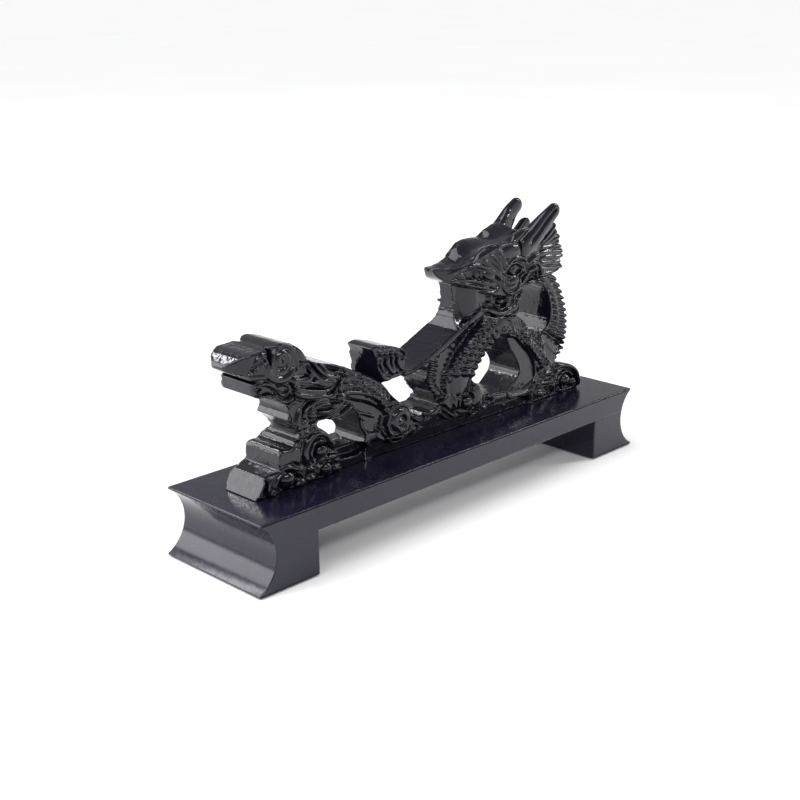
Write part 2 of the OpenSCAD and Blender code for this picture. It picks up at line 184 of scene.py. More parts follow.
class Relief:
    """Half thickness of the slab over the grid, built up by laying shapes on it."""

    def __init__(self, x, z):
        self.x, self.z = np.meshgrid(x, z, indexing="ij")
        self.h = np.zeros(self.x.shape)

    def window(self, points, margin):
        """The part of the grid round some points, as a pair of slices."""
        low = np.min(points, 0) - margin
        high = np.max(points, 0) + margin
        i = np.searchsorted(self.x[:, 0], [low[0], high[0]])
        k = np.searchsorted(self.z[0], [low[1], high[1]])
        return np.s_[i[0]:i[1], k[0]:k[1]]

    def along(self, points, margin):
        """Near a curve: the window, the distance, the share of the way along and the side."""
        line = smooth_line(points)
        part = self.window(line, margin)
        x, z = self.x[part], self.z[part]
        run = np.concatenate([[0], np.cumsum(np.hypot(*np.diff(line, axis=0).T))])
        best = np.full(x.shape, FAR_OFF)
        share = np.zeros(x.shape)
        side = np.ones(x.shape)
        for (ax, az), (bx, bz), s0, s1 in zip(line[:-1], line[1:], run[:-1], run[1:]):
            dx, dz = bx - ax, bz - az
            t = np.clip(((x - ax) * dx + (z - az) * dz) / (dx * dx + dz * dz + 1e-12), 0, 1)
            gap = np.hypot(x - ax - t * dx, z - az - t * dz)
            closer = gap < best
            best[closer] = gap[closer]
            share[closer] = (s0 + (s1 - s0) * t[closer]) / run[-1]
            side[closer] = np.sign((x - ax) * dz - (z - az) * dx)[closer]
        return part, best, share, side

    def area(self, points, height, edge=0.6):
        """Brings a closed outline to one height, over a soft edge."""
        line = smooth_line(points, closed=True)
        part = self.window(line, edge * 2)
        x, z = self.x[part], self.z[part]
        gap = signed_distance(line, np.roll(line, -1, 0), x, z)
        self.blend(part, height, soft_step(-gap / edge))

    def blend(self, part, height, share):
        """Moves a window towards a height by a share from 0 to 1."""
        self.h[part] += (height - self.h[part]) * share

    def lock(self, points, width, rise, level, taper=(0.2, 0.2), crown=0.5):
        """Lays a rounded strip on the face: its edge stands at level and its middle rises above it."""
        part, gap, share, _ = self.along(points, width + 1)
        half = width * ends(share, *taper)
        across = np.clip(gap / np.maximum(half, 1e-3), 0, 1)
        top = level + rise * (1 - across ** 2) ** crown * np.sqrt(half / width)
        self.blend(part, top, soft_step((half - gap) / SOFT_EDGE))

    def ridge(self, points, width, rise, taper=(0.3, 0.3)):
        """Adds a rounded ridge, or with a negative rise cuts a groove."""
        part, gap, share, _ = self.along(points, width + 0.5)
        half = width * ends(share, *taper)
        across = np.clip(gap / np.maximum(half, 1e-3), 0, 1)
        self.h[part] += rise * (1 - across ** 2) ** 2 * ends(share, *taper)

    def groove(self, points, width, depth, taper=(0.3, 0.3)):
        """Cuts a rounded groove."""
        self.ridge(points, width, -depth, taper)

    def dome(self, x, z, across, upright, rise, level, turn=0, crown=0.5):
        """Lays an oval dome whose edge stands at level."""
        reach = max(across, upright)
        part = self.window(np.array([[x, z]]), reach + 1)
        dx, dz = self.x[part] - x, self.z[part] - z
        c, s = math.cos(math.radians(turn)), math.sin(math.radians(turn))
        u, v = (dx * c + dz * s) / across, (dz * c - dx * s) / upright
        far = np.hypot(u, v)
        top = level + rise * np.maximum(1 - far ** 2, 0) ** crown
        self.blend(part, top, soft_step((1 - far) * min(across, upright) / SOFT_EDGE))

    def spiral(self, x, z, reach, turns, start, level, rise, hand=1, core=0.0):
        """A rolled-up tube, seen from its end, that winds in from reach to its middle."""
        part = self.window(np.array([[x, z]]), reach + 1)
        dx, dz = self.x[part] - x, self.z[part] - z
        far = np.hypot(dx, dz)
        angle = (hand * (np.arctan2(dz, dx) - math.radians(start)) / (2 * math.pi)) % 1
        pitch = (reach - core) / turns
        arm = (far - core) / pitch - angle
        across = np.abs(arm - np.floor(arm) - 0.5) * 2
        top = level + rise * (1 - across ** 2) ** 0.5 + rise * 0.4 * (1 - far / reach)
        self.blend(part, top, soft_step((reach - far) / SOFT_EDGE))


def soft_step(t):
    """0 below 0, 1 above 1 and smooth between."""
    t = np.clip(t, 0, 1)
    return t * t * (3 - 2 * t)


def ends(share, first, last):
    """1 along a curve, narrowing to 0 over the first and last shares of it."""
    near = np.sqrt(np.clip(share / first, 0, 1)) if first else 1.0
    far = np.sqrt(np.clip((1 - share) / last, 0, 1)) if last else 1.0
    return np.ones_like(share) * near * far


def smooth_line(points, closed=False, count=6):
    """Points along a smooth curve through the given points."""
    p = np.array(points, float)
    if len(p) == 2 and not closed:
        return np.linspace(p[0], p[1], 3)
    before = np.roll(p, 1, 0)
    after = np.roll(p, -1, 0)
    if not closed:
        before[0], after[-1] = 2 * p[0] - p[1], 2 * p[-1] - p[-2]
    way = after - before
    way /= np.maximum(np.hypot(*way.T), 1e-9)[:, None]
    line = []
    for i in range(len(p) if closed else len(p) - 1):
        a, b = p[i], p[(i + 1) % len(p)]
        span = np.hypot(*(b - a))
        ta, tb = way[i] * span, way[(i + 1) % len(p)] * span
        for s in np.arange(count) / count:
            line.append(a * (2 * s ** 3 - 3 * s ** 2 + 1) + ta * (s ** 3 - 2 * s ** 2 + s)
                        + b * (3 * s ** 2 - 2 * s ** 3) + tb * (s ** 3 - s ** 2))
    if not closed:
        line.append(p[-1])
    return np.array(line)


def oval(x, z, across, upright, turn=0, count=10):
    """Points round an oval."""
    c, s = math.cos(math.radians(turn)), math.sin(math.radians(turn))
    angles = [2 * math.pi * i / count for i in range(count)]
    rim = [(across * math.cos(a), upright * math.sin(a)) for a in angles]
    return [(x + u * c - v * s, z + u * s + v * c) for u, v in rim]


def stations(points, pitch):
    """Places every pitch millimetres along a curve, each with its heading in degrees."""
    line = smooth_line(points)
    run = np.concatenate([[0], np.cumsum(np.hypot(*np.diff(line, axis=0).T))])
    marks = np.arange(pitch / 2, run[-1], pitch)
    xs, zs = np.interp(marks, run, line[:, 0]), np.interp(marks, run, line[:, 1])
    x1, z1 = np.interp(marks + 0.2, run, line[:, 0]), np.interp(marks + 0.2, run, line[:, 1])
    x0, z0 = np.interp(marks - 0.2, run, line[:, 0]), np.interp(marks - 0.2, run, line[:, 1])
    return list(zip(xs, zs, np.degrees(np.arctan2(z1 - z0, x1 - x0))))


def row(relief, points, pitch, along, across, rise, lean=0, tilt=0.35):
    """A row of oval scales that stand on the face, each turned by lean degrees from the curve."""
    base = relief.h.copy()
    for x, z, heading in stations(points, pitch):
        part = relief.window(np.array([[x, z]]), max(along, across) + 0.5)
        dx, dz = relief.x[part] - x, relief.z[part] - z
        c, s = math.cos(math.radians(heading + lean)), math.sin(math.radians(heading + lean))
        u, v = (dx * c + dz * s) / along, (dz * c - dx * s) / across
        top = base[part] + rise * np.maximum(1 - u * u - v * v, 0) ** 0.5 * (1 + tilt * u)
        relief.h[part] = np.maximum(relief.h[part], top)


# ---- The relief, from left to right -----------------------------------------------


def carve_left_clouds(r):
    """The plain face of the post, with clouds rolled round pearls at its foot."""
    r.area([(-98, 42.6), (-97.6, 49.6), (-91, 50), (-86, 49.5), (-84.8, 45), (-85, 41), (-91, 43)], 11.6,
           1.2)
    r.area([(-110, 31), (-105.4, 39.6), (-98, 42), (-84, 39.6), (-82, 31)], 10.2, 1.0)
    r.area(oval(-93, 36, 6.6, 5.8), 8.8, 1.4)
    r.lock([(-103.8, 31.5), (-102.8, 37.5), (-98.8, 41.2), (-93.6, 42.2), (-89.4, 40.6), (-84.4, 38)], 1.5,
           1.6, 10.4, (0.05, 0.25))
    r.lock([(-99.8, 32), (-99.2, 36.6), (-96, 39.6), (-91.4, 39.6)], 1.1, 1.6, 9.8, (0.1, 0.3))
    r.lock([(-108.8, 32), (-107.4, 36), (-105.4, 39.2)], 1.1, 1.2, 10.4, (0.1, 0.2))
    r.groove([(-105, 31.4), (-105.2, 35), (-104.2, 39.6)], 1.0, 2.2)
    r.lock([(-89.8, 39.6), (-86.4, 37.6), (-84.2, 35)], 1.2, 1.2, 10.2, (0.1, 0.2))
    r.dome(-86, 33, 3.6, 1.7, 1.4, 10.2, 8)
    r.dome(-101, 32, 1.8, 1.6, 1.4, 10.2)
    # ledges under the jaw
    r.lock([(-91, 49.4), (-88.6, 50.8), (-86, 52), (-83.6, 52.6)], 1.1, 1.0, 11, (0, 0.2))
    r.groove([(-88, 53.2), (-86, 54.2), (-84.4, 56.4)], 1.0, 2.4)
    r.area([(-90, 61), (-87.6, 56.6), (-85, 57.6), (-86, 62), (-84, 67), (-89.6, 69)], 9.8, 1.2)
    r.lock([(-87.6, 57), (-86.6, 61), (-84.4, 64.6), (-80, 67.4)], 1.6, 1.4, 10.2, (0.1, 0.1))
    # the first scroll
    r.area([(-84.6, 39), (-84.6, 50), (-79, 56), (-71, 52.4), (-66, 44), (-63.6, 39)], 10, 1.0)
    r.area(oval(-74.6, 44.8, 6.6, 6.4), 8.6, 1.4)
    r.lock([(-81.6, 40.4), (-82.8, 45.4), (-81, 50), (-76.6, 52.9), (-71.4, 51.2), (-68.6, 47.6),
            (-66.4, 43.4)], 1.7, 1.9, 10.4, (0.08, 0.15))
    r.lock([(-82.8, 52.4), (-80.6, 55), (-77, 55.4), (-73.6, 53.8)], 1.3, 1.6, 10.6)
    r.lock([(-79, 41), (-79.4, 45.4), (-77.2, 48.8), (-73.4, 49), (-70, 46.8)], 1.2, 1.8, 9.8, (0.1, 0.25))
    r.dome(-73.2, 44, 3.9, 3.3, 2.6, 9.4, -10)
    r.dome(-70, 39.9, 6.4, 1.9, 1.9, 10.2, 3)
    # the rocks under the first scroll
    r.area([(-82, 31), (-82, 38.6), (-63, 39), (-60.6, 36), (-60.6, 31)], 9.4, 0.8)
    r.area(oval(-70.6, 35, 5, 3.8), 8.2, 1.0)
    r.lock([(-75.8, 33), (-75, 36.6), (-71, 38.6), (-67, 37)], 1.0, 1.6, 9.6, (0.1, 0.25))
    r.dome(-79, 37.4, 2.6, 1.3, 1.4, 9.6, -6)
    r.dome(-79, 33, 2.8, 1.5, 1.4, 9.4, 4)
    r.dome(-64.6, 33.6, 3.2, 1.3, 1.4, 9.4, -4)
    r.dome(-63.4, 37.2, 1.6, 1.0, 1.0, 9.4, -10)


def carve_small_head(r):
    """The small head at the left: a curled cheek, a lipped snout and a jaw with a tooth."""
    r.area([(-120, 83), (-120, 94), (-100, 96), (-101, 84)], 11.2, 0.8)
    # snout
    r.lock([(-110.6, 85.4), (-106, 84.6), (-101.6, 83.4)], 1.2, 1.4, 10.4, (0.1, 0.2))
    r.lock([(-107.4, 86.8), (-108.4, 89.8), (-106.4, 92.8), (-102.4, 93.6)], 1.2, 1.6, 10.6, (0.15, 0.2))
    r.dome(-104.6, 89.2, 2.0, 2.6, 1.6, 10.4)
    r.groove([(-112, 85.6), (-109.6, 88.6), (-106, 90.6)], 1.2, 1.8)
    r.lock([(-116, 87.6), (-112, 86.2), (-107, 84.4)], 0.9, 1.0, 10.8)
    r.groove([(-102.6, 94), (-103.4, 90), (-102.8, 86)], 0.9, 1.4)
    # the curled cheek
    r.area([(-101, 96), (-98, 96.4), (-91, 96), (-86, 93), (-85.4, 86), (-88, 81), (-96, 79.6), (-101, 83)],
           10.2, 1.0)
    r.groove([(-100.8, 97.4), (-100.4, 93), (-100.6, 88)], 1.6, 3.4, (0.05, 0.3))
    r.dome(-92.4, 89.6, 6.4, 6.6, 1.4, 10.4, 20)
    r.spiral(-94.6, 89.2, 6.2, 1.7, 215, 10.4, 1.7, -1)
    r.lock([(-102, 91.4), (-102.4, 87.2), (-99.6, 83), (-94.6, 81.2), (-90, 82.6), (-87.6, 86)], 2.3, 2.4,
           10.4, (0.2, 0.25))
    r.lock([(-98.6, 95.6), (-94.6, 96), (-90, 94.2), (-87.2, 90.6), (-86.2, 85), (-86.4, 82)], 1.1, 1.7,
           10.6, (0.2, 0.1))
    # the ear behind it
    r.dome(-84.2, 90.2, 3.0, 5.2, 1.4, 10.8, 32)
    r.dome(-82.8, 83.2, 3.0, 2.0, 1.8, 10.4, 8)
    r.lock([(-86.4, 81.8), (-83.6, 80.4), (-80.4, 81), (-78.6, 83.6)], 0.9, 1.4, 10.6, (0.1, 0.2))
    # the jaw
    r.area([(-109.4, 75.6), (-109.4, 81.6), (-103, 81.4), (-96, 78.6), (-88, 78), (-86, 74), (-93, 70.4),
            (-101, 74.6)],
           9.4, 1.0)
    r.lock([(-109.2, 80.8), (-105.4, 81.4), (-101.6, 80.6), (-98, 78.2), (-95.4, 75.4)], 1.1, 1.5, 10.2,
           (0.1, 0.3))
    r.lock([(-109, 76.4), (-105, 75.9), (-101, 75.6), (-98.6, 74.4)], 0.9, 1.4, 10.2, (0.1, 0.2))
    r.dome(-105.6, 78.2, 1.7, 1.3, 1.8, 9.6, 30, 0.8)
    r.dome(-108.6, 78.6, 1.0, 2.4, 1.6, 10)
    r.lock([(-98.2, 76), (-97, 72.6), (-93.2, 70.9), (-89.4, 72), (-88, 74.4)], 1.7, 2.0, 10.2, (0.25,
                                                                                                 0.25))
    r.lock([(-96.4, 76.8), (-94.6, 74.4), (-91.6, 74.2), (-90, 76)], 1.0, 1.3, 9.8)
    r.dome(-91, 78, 1.4, 1.0, 1.2, 9.8, 20)


def carve_mane(r):
    """Locks of mane that sweep back from the small head, over a curled beard."""
    r.area([(-90, 80), (-78, 86), (-66, 82), (-59, 76), (-63, 66), (-75, 66.6), (-88, 71)], 9.2, 1.0)
    r.lock([(-90, 79.6), (-84, 77.9), (-79, 78.2), (-77.4, 81)], 2.1, 2.0, 10, (0.15, 0.3))
    r.lock([(-88.4, 74), (-82, 71), (-75, 69.2), (-68.4, 67.4), (-65, 68.4), (-64.4, 70.6)], 1.9, 2.2, 10,
           (0.1, 0.15))
    r.lock([(-88.4, 77), (-84, 74.2), (-78, 72.4), (-71, 70.8), (-66.4, 71.4)], 1.4, 2.1, 10, (0.1, 0.2))
    r.lock([(-87, 78.4), (-82, 76.2), (-76, 75.6), (-71, 73.4), (-65, 72.6)], 1.2, 2.2, 10, (0.15, 0.2))
    r.lock([(-79.6, 83), (-76.6, 79), (-72.6, 76), (-67, 74.4), (-62.8, 73.2)], 1.3, 2.3, 10, (0.15, 0.2))
    r.lock([(-77.4, 85), (-73.8, 80.4), (-70, 77.4), (-64.6, 75.6), (-60.6, 74.4)], 1.2, 2.3, 10, (0.15,
                                                                                                   0.2))
    r.lock([(-74.4, 84.4), (-71.6, 81.4), (-68.4, 78.6), (-63, 77.6), (-59.4, 75.6)], 1.1, 2.2, 10, (0.15,
                                                                                                     0.2))
    r.lock([(-78.6, 85.8), (-72, 83.6), (-66, 81.2), (-60, 78.4), (-56, 76)], 1.1, 1.6, 10.4, (0.1, 0.1))
    r.dome(-67.6, 79.2, 1.9, 0.8, 1.6, 9.8, -28)
    r.dome(-63.2, 75.7, 2.0, 0.9, 1.6, 10.2, -32)
    # beard
    r.area([(-84, 66.6), (-77, 69), (-66, 65.6), (-60.6, 66.6), (-54, 60), (-64, 56.4), (-76, 57.6),
            (-83, 56)],
           9.0, 1.0)
    r.lock([(-84, 60.4), (-82.2, 64.2), (-77.4, 67), (-72, 67.2), (-67, 65)], 1.2, 2.0, 9.8, (0.15, 0.2))
    r.lock([(-80, 63.4), (-76, 64.8), (-71, 65), (-67.2, 63.6)], 1.5, 2.0, 9.6, (0.2, 0.25))
    r.dome(-77.4, 61.2, 2.6, 1.9, 2.0, 9.2, -18)
    r.dome(-82.4, 58.2, 2.6, 2.6, 1.8, 9.4)
    r.lock([(-75, 62.2), (-70, 61), (-65, 61.4), (-60.6, 63.4), (-57.8, 65)], 1.3, 2.0, 9.6, (0.15, 0.2))
    r.lock([(-64, 65.2), (-60.6, 65.8), (-58, 66.6)], 1.3, 1.6, 9.8)
    r.lock([(-67, 63.4), (-63.6, 62.8), (-61, 64)], 1.0, 1.6, 10, (0.2, 0.3))
    r.lock([(-76, 58.4), (-70, 58.6), (-64, 59.6), (-59.6, 61.4), (-56.2, 61.6)], 1.1, 1.8, 9.6)
    r.lock([(-68, 57.4), (-62, 57.6), (-58, 59), (-54.4, 60.2)], 1.4, 1.8, 9.6, (0.2, 0.15))
    r.dome(-79, 57, 3.6, 1.2, 1.4, 9.8, 8)


def carve_neck(r):
    """The neck: a band of scales over a smooth hollow flank."""
    r.area([(-60, 64), (-50, 62), (-42, 58.6), (-35, 54), (-33, 48), (-36, 44), (-46, 45), (-50, 54),
            (-54, 59)],
           8.4, 1.6)
    r.area([(-62, 68), (-60, 74), (-50, 72.4), (-38, 64.6), (-29, 54), (-35, 52), (-46, 62), (-56, 65.6)],
           9.4, 1.2)
    r.lock([(-62, 79), (-54, 75.4), (-46, 71), (-40, 67.2), (-34, 62.6), (-29, 57.4), (-22, 52.4),
            (-16, 47)], 0.9, 1.3, 10.3, (0.1, 0.1))
    r.lock([(-60.8, 77.4), (-54, 74.6), (-48.4, 71.2)], 0.7, 1.0, 10, (0.2, 0.3))
    r.lock([(-60.6, 67.4), (-62.8, 70.4), (-60.8, 73.2), (-57, 75)], 1.1, 1.8, 10.2, (0.15, 0.2))
    row(r, [(-59.6, 72.6), (-52, 72), (-45, 67.6), (-38, 62.4), (-32.6, 57)], 3.6, 2.4, 1.9, 1.9, -8)
    row(r, [(-58, 69.4), (-51, 68.6), (-44, 64.8), (-38, 59.8), (-33, 54.8)], 3.6, 2.4, 1.8, 1.9, -8)
    r.lock([(-60.4, 67), (-53, 65.9), (-46, 63.6), (-40, 60.2), (-34.6, 55.6)], 1.2, 1.5, 9.6, (0.05, 0.1))
    row(r, [(-47, 64), (-41, 60.6), (-36, 56.4), (-33, 52.4)], 3.2, 1.9, 1.4, 1.5, -8)
    r.dome(-36.4, 57.2, 2.0, 1.8, 1.6, 10, -30)
    r.ridge([(-54, 58), (-49.6, 55.4), (-44.6, 53.4), (-39, 50.6)], 1.0, 0.9)
    r.ridge([(-52, 55), (-48.6, 52.6), (-45, 50.6)], 0.8, 0.7)
    # strands beside the middle scroll
    r.lock([(-38.4, 47.4), (-36.4, 43), (-33.6, 40.6), (-31, 39.6)], 0.9, 1.6, 9.8)
    r.lock([(-40.4, 45), (-39.4, 41.6), (-35, 39.4)], 0.9, 1.4, 9.4)
    r.lock([(-29, 55.4), (-24.6, 54.4), (-20.6, 51.6), (-17.4, 48), (-15, 44.4)], 1.0, 1.5, 10.2, (0.1,
                                                                                                   0.2))
    r.area([(-19, 50), (-10, 43.6), (-12, 41), (-18, 42)], 9.4, 1.0)
    r.lock([(-17.6, 46.6), (-14.4, 43.6), (-11, 41.6)], 0.9, 1.2, 9.6)


def carve_scrolls(r):
    """The middle and right scrolls with the leaves between them."""
    r.area(oval(-26.4, 45.6, 9.2, 9.2), 9.2, 0.8)
    r.spiral(-26.6, 45.8, 8.2, 1.75, 250, 9.4, 2.6, -1)
    r.dome(-26.4, 45.4, 2.6, 2.3, 1.9, 10.8, -15)
    r.lock([(-33.4, 50.6), (-29.4, 53.8), (-24, 53.4), (-19.8, 50)], 1.3, 1.8, 10.2)
    r.area([(-44, 31), (-44, 40.4), (-36, 39), (-20, 38), (-8, 38), (10, 38), (36, 38), (66, 36.4),
            (66, 31)],
           7.4, 0.8)
    r.lock(oval(-27, 38.2, 5.0, 1.9, -3) + [(-22, 38.2)], 0.8, 1.6, 8.8, (0, 0))
    r.area([(-12, 38), (-9, 45.4), (0, 45.6), (3, 47), (8, 43), (13, 38)], 8.2, 0.8)
    r.dome(-5, 44.7, 4.4, 1.3, 1.8, 8.6, 6)
    r.lock([(3.6, 44.6), (7.6, 41.4), (12.8, 37.8)], 0.9, 1.6, 8.8)
    r.lock([(2.4, 43.4), (5, 40.2), (9.8, 37.6)], 0.8, 1.4, 8.6)
    r.dome(-15, 38.6, 2.4, 2.6, 1.0, 8.2, 20)
    # the right scroll
    r.area(oval(20, 45.4, 10, 9.6), 9.4, 0.8)
    r.area(oval(25.4, 41.4, 6.8, 6.6), 9.4, 0.8)
    r.dome(27.2, 44.6, 5.0, 7.4, 1.7, 10.4, 8)
    r.area(oval(18.6, 45, 5.6, 5.4), 8.8, 1.0)
    r.lock([(11.4, 41.8), (10.8, 46.4), (12.6, 50.6), (17, 53), (22, 53.2), (26.4, 51)], 1.6, 2.2, 10.2,
           (0.1, 0.2))
    r.lock([(16, 41.6), (13.8, 43.6), (14.4, 46.8), (17.4, 48.4), (21, 47.6)], 1.0, 2.2, 10, (0.2, 0.25))
    r.dome(20.2, 43.6, 3.6, 3.3, 2.2, 10, -15)
    r.lock(oval(25, 38.6, 3.2, 1.5) + [(28.2, 38.6)], 0.8, 1.6, 9.8, (0, 0))
    r.lock([(29.4, 52), (31.6, 46), (31.2, 40), (28, 37)], 1.1, 1.4, 10.2, (0.3, 0.2))
    # rocks to the right of it
    r.area([(32, 38), (33, 44.4), (38, 43.4), (39, 38)], 9.0, 0.8)
    r.lock([(33.2, 43.8), (36.4, 42.8), (38.8, 41.4), (39, 37.6)], 0.9, 1.4, 8.8, (0.1, 0.1))
    r.dome(34, 37.2, 2.0, 1.2, 1.4, 8.8, -10)
    r.lock([(39.8, 42.9), (45, 42), (50, 41.6)], 0.8, 1.3, 8, (0.1, 0.1))
    r.lock([(52.4, 40.4), (59, 39.9), (66, 40.2), (70.4, 42)], 1.0, 1.5, 8, (0.05, 0.1))
    r.groove([(51, 43), (50.4, 38), (51.4, 34.6)], 1.3, 2.0, (0.1, 0.3))
    r.groove([(44, 37), (54, 36.8), (64, 36.4)], 0.8, 0.8)
    # set-back rocks on the left
    r.area([(-60.4, 31), (-60.4, 36), (-46, 36), (-45, 31)], 7.6, 0.6)
    r.area([(-60, 36.4), (-63, 40.9), (-47.6, 40.9), (-46, 36.4)], 4.6, 0.6)


def carve_claw_and_saddle(r):
    """Four claws grip the claw rest, and the saddle's edge stands out as a rail."""
    r.area([(-41, 83), (-34.8, 64.6), (-19, 65.4), (-18.8, 72), (-22, 80), (-31, 83)], 8.2, 0.6)
    r.lock([(-38.4, 78.6), (-39, 74), (-36.8, 70), (-33.2, 67.4), (-28.6, 66.8)], 1.6, 1.7, 8.8, (0.1, 0.2))
    r.lock([(-35.4, 78), (-36, 74.6), (-34, 71), (-31, 68.6)], 1.2, 1.7, 8.8, (0.1, 0.2))
    r.lock([(-31.6, 77.6), (-32, 74), (-30, 70.6), (-27, 68)], 1.4, 1.8, 8.8, (0.1, 0.2))
    r.lock([(-28.2, 77.6), (-28.8, 74), (-27, 70.4), (-24, 68)], 1.2, 1.7, 8.8, (0.1, 0.2))
    r.lock([(-24.8, 76.6), (-25.4, 73.4), (-23.8, 70.6), (-20.8, 68.6)], 1.1, 1.6, 8.8, (0.1, 0.2))
    r.groove([(-34.6, 76), (-34.4, 73), (-33, 70)], 0.7, 1.2)
    r.groove([(-27.4, 75), (-27.4, 72.6), (-26.4, 70)], 0.7, 1.2)
    for x, z in ((-35.6, 79.8), (-32.4, 79.4), (-29, 79), (-25.8, 78.2)):
        r.dome(x, z, 1.7, 1.9, 1.4, 9.0, -15)
    r.lock([(-24, 79), (-21.6, 78), (-20.2, 76), (-21, 74.4), (-22.8, 74.6)], 0.9, 1.4, 9.0, (0.15, 0.2))
    r.area([(-21, 65), (-21, 68.6), (-4, 73), (12, 80), (32, 89.6), (38, 92), (40, 87), (22, 79.4),
            (2, 70.4)],
           9.0, 0.6)
    r.lock([(-21, 67), (-14, 68), (-7, 70.6), (2.4, 74.6), (12.4, 79), (22.4, 83.8), (32.4, 88.2),
            (38, 90.8)], 1.1, 1.0, 9.4, (0, 0))
    r.area([(15, 81), (15, 104), (34, 100), (34, 90), (24, 85.6)], 8.6, 0.5)


def carve_breast(r):
    """A hollow breast with a combed left edge and strands of hair low down."""
    r.area([(-6, 50), (-4.4, 70), (10, 77), (38, 89), (30, 80), (12, 64), (7, 50)], 7.6, 0.8)
    for z in (51.6, 53.6, 55.8, 58, 60.2, 62.4, 64.6, 66.8, 69, 71.2, 73.4):
        left = np.interp(z, [50, 54.4, 59, 63, 67, 70, 75], [1, -2.6, -5, -4.6, -3.6, -4, 2])
        r.lock([(left - 1, z + 0.9), (left + 2.4, z), (left + 6.4, z - 1.9)], 0.95, 1.9, 7.4, (0.05, 0.6))
    for x, z in ((6.6, 75.4), (11, 77), (15.4, 78.8), (20, 80.8), (24.6, 83)):
        r.lock([(x, z), (x + 2.2, z - 1.8), (x + 5, z - 3.2)], 0.7, 1.0, 7.6, (0.1, 0.5))
    r.lock([(3.4, 57.4), (8, 56.8), (12.6, 55)], 0.8, 1.8, 8.4, (0.3, 0.2))
    r.lock([(4.4, 60.6), (8, 60.4), (10.4, 58.6)], 0.9, 1.8, 8.4, (0.3, 0.2))
    r.lock([(4, 54.4), (7, 53.6), (9.6, 51)], 0.8, 1.6, 8.4, (0.3, 0.2))


def carve_coils(r):
    """The coiled body: belly plates along its inside, scales over it and curls outside."""
    r.area([(7, 50), (7, 60), (15, 70), (30, 80.4), (45, 82), (46, 71), (36, 68), (24, 54), (16, 52)], 9.6,
           1.0)
    middle = [(15.6, 54), (19, 61.6), (24.6, 68), (31, 73.4), (38, 76.6), (46, 77)]
    r.lock(middle, 7, 1.6, 9.6, (0, 0), crown=0.7)
    row(r, [(22.4, 55.6), (26.6, 61.6), (31.8, 67), (38, 71.6), (44.6, 74)], 3.6, 1.75, 3.3, 2.1, 12)
    row(r, [(16.6, 57.6), (21, 65), (27, 71), (33.6, 75.6), (40.6, 78)], 3.6, 1.8, 3.2, 2.0, 14)
    row(r, [(11.4, 58.4), (15.6, 66.2), (21.6, 72.6), (28.6, 77.6), (35, 80.4)], 3.6, 1.9, 2.2, 2.0, 18)
    row(r, [(8.2, 56), (11, 64), (16.4, 70), (23, 75.2), (30, 79.8)], 3.0, 1.4, 1.2, 2.0, 0)
    # the body over the top of the loop and down to the right
    r.area([(45, 71), (45, 82), (55, 80.6), (62, 75), (67, 67.6), (76, 63), (86, 53), (88, 47), (70, 43),
            (71, 50),
            (62, 62.6), (54, 69.4)], 9.6, 1.0)
    r.lock([(46, 76.8), (53, 75), (59.6, 69.6), (66, 62.6), (73, 56), (78.6, 50), (80, 45)], 6, 1.6, 9.6,
           (0, 0), crown=0.7)
    row(r, [(44, 74.2), (51, 72.4), (58, 66.8), (64.4, 60.4), (70.4, 54)], 3.4, 1.7, 2.3, 1.8, -14)
    row(r, [(58, 73), (63, 67.4), (69, 61.6), (75, 56.6), (80, 51)], 3.2, 1.9, 1.7, 1.8, -10)
    row(r, [(62, 66), (68, 59), (74, 53.4), (77.4, 48)], 3.2, 1.8, 1.7, 1.7, -10)
    row(r, [(47, 80), (54, 79), (60, 75.4), (64, 69.6), (70, 64.4), (76.6, 60), (82.6, 54.6), (87, 49)],
        2.7, 1.4, 1.2, 1.8, 10)
    r.area([(49, 41), (57, 46.6), (60, 51), (56, 59), (49, 69), (55, 69), (62, 62.6), (68, 57),
            (70.8, 50.4), (70, 43)],
           9.3, 0.6)
    r.lock([(46, 72.2), (54, 70), (60.6, 64.4), (67, 58), (70.4, 51.6), (71, 45)], 0.8, 1.3, 10, (0.1, 0.1))
    for shift in (0, 2, 4, 6):
        r.lock([(47.6 + shift, 80.6), (50 + shift, 78.8 - shift * 0.2), (51.4 + shift, 76 - shift * 0.3),
                (53.6 + shift, 73 - shift * 0.4)], 0.85, 1.7, 10.6, (0.15, 0.3))
    for x, z in ((77.2, 52), (82.2, 51), (78.6, 47.6), (84.4, 47.8)):
        r.dome(x, z, 1.7, 1.7, 1.6, 10.4)
        r.groove(oval(x, z, 1.3, 1.3) + [(x + 1.3, z)], 0.5, 0.6, (0, 0))


ARCH_OUTSIDE = [(84.6, 97), (89, 90.4), (93, 82), (95.4, 75), (96.6, 67), (95.6, 60), (93.4, 55), (90,
                                                                                                   51.6),
                (88, 48)]
SPINE_PITCH = 2.75
SPINE_SLANT = (0.34, 0.94)


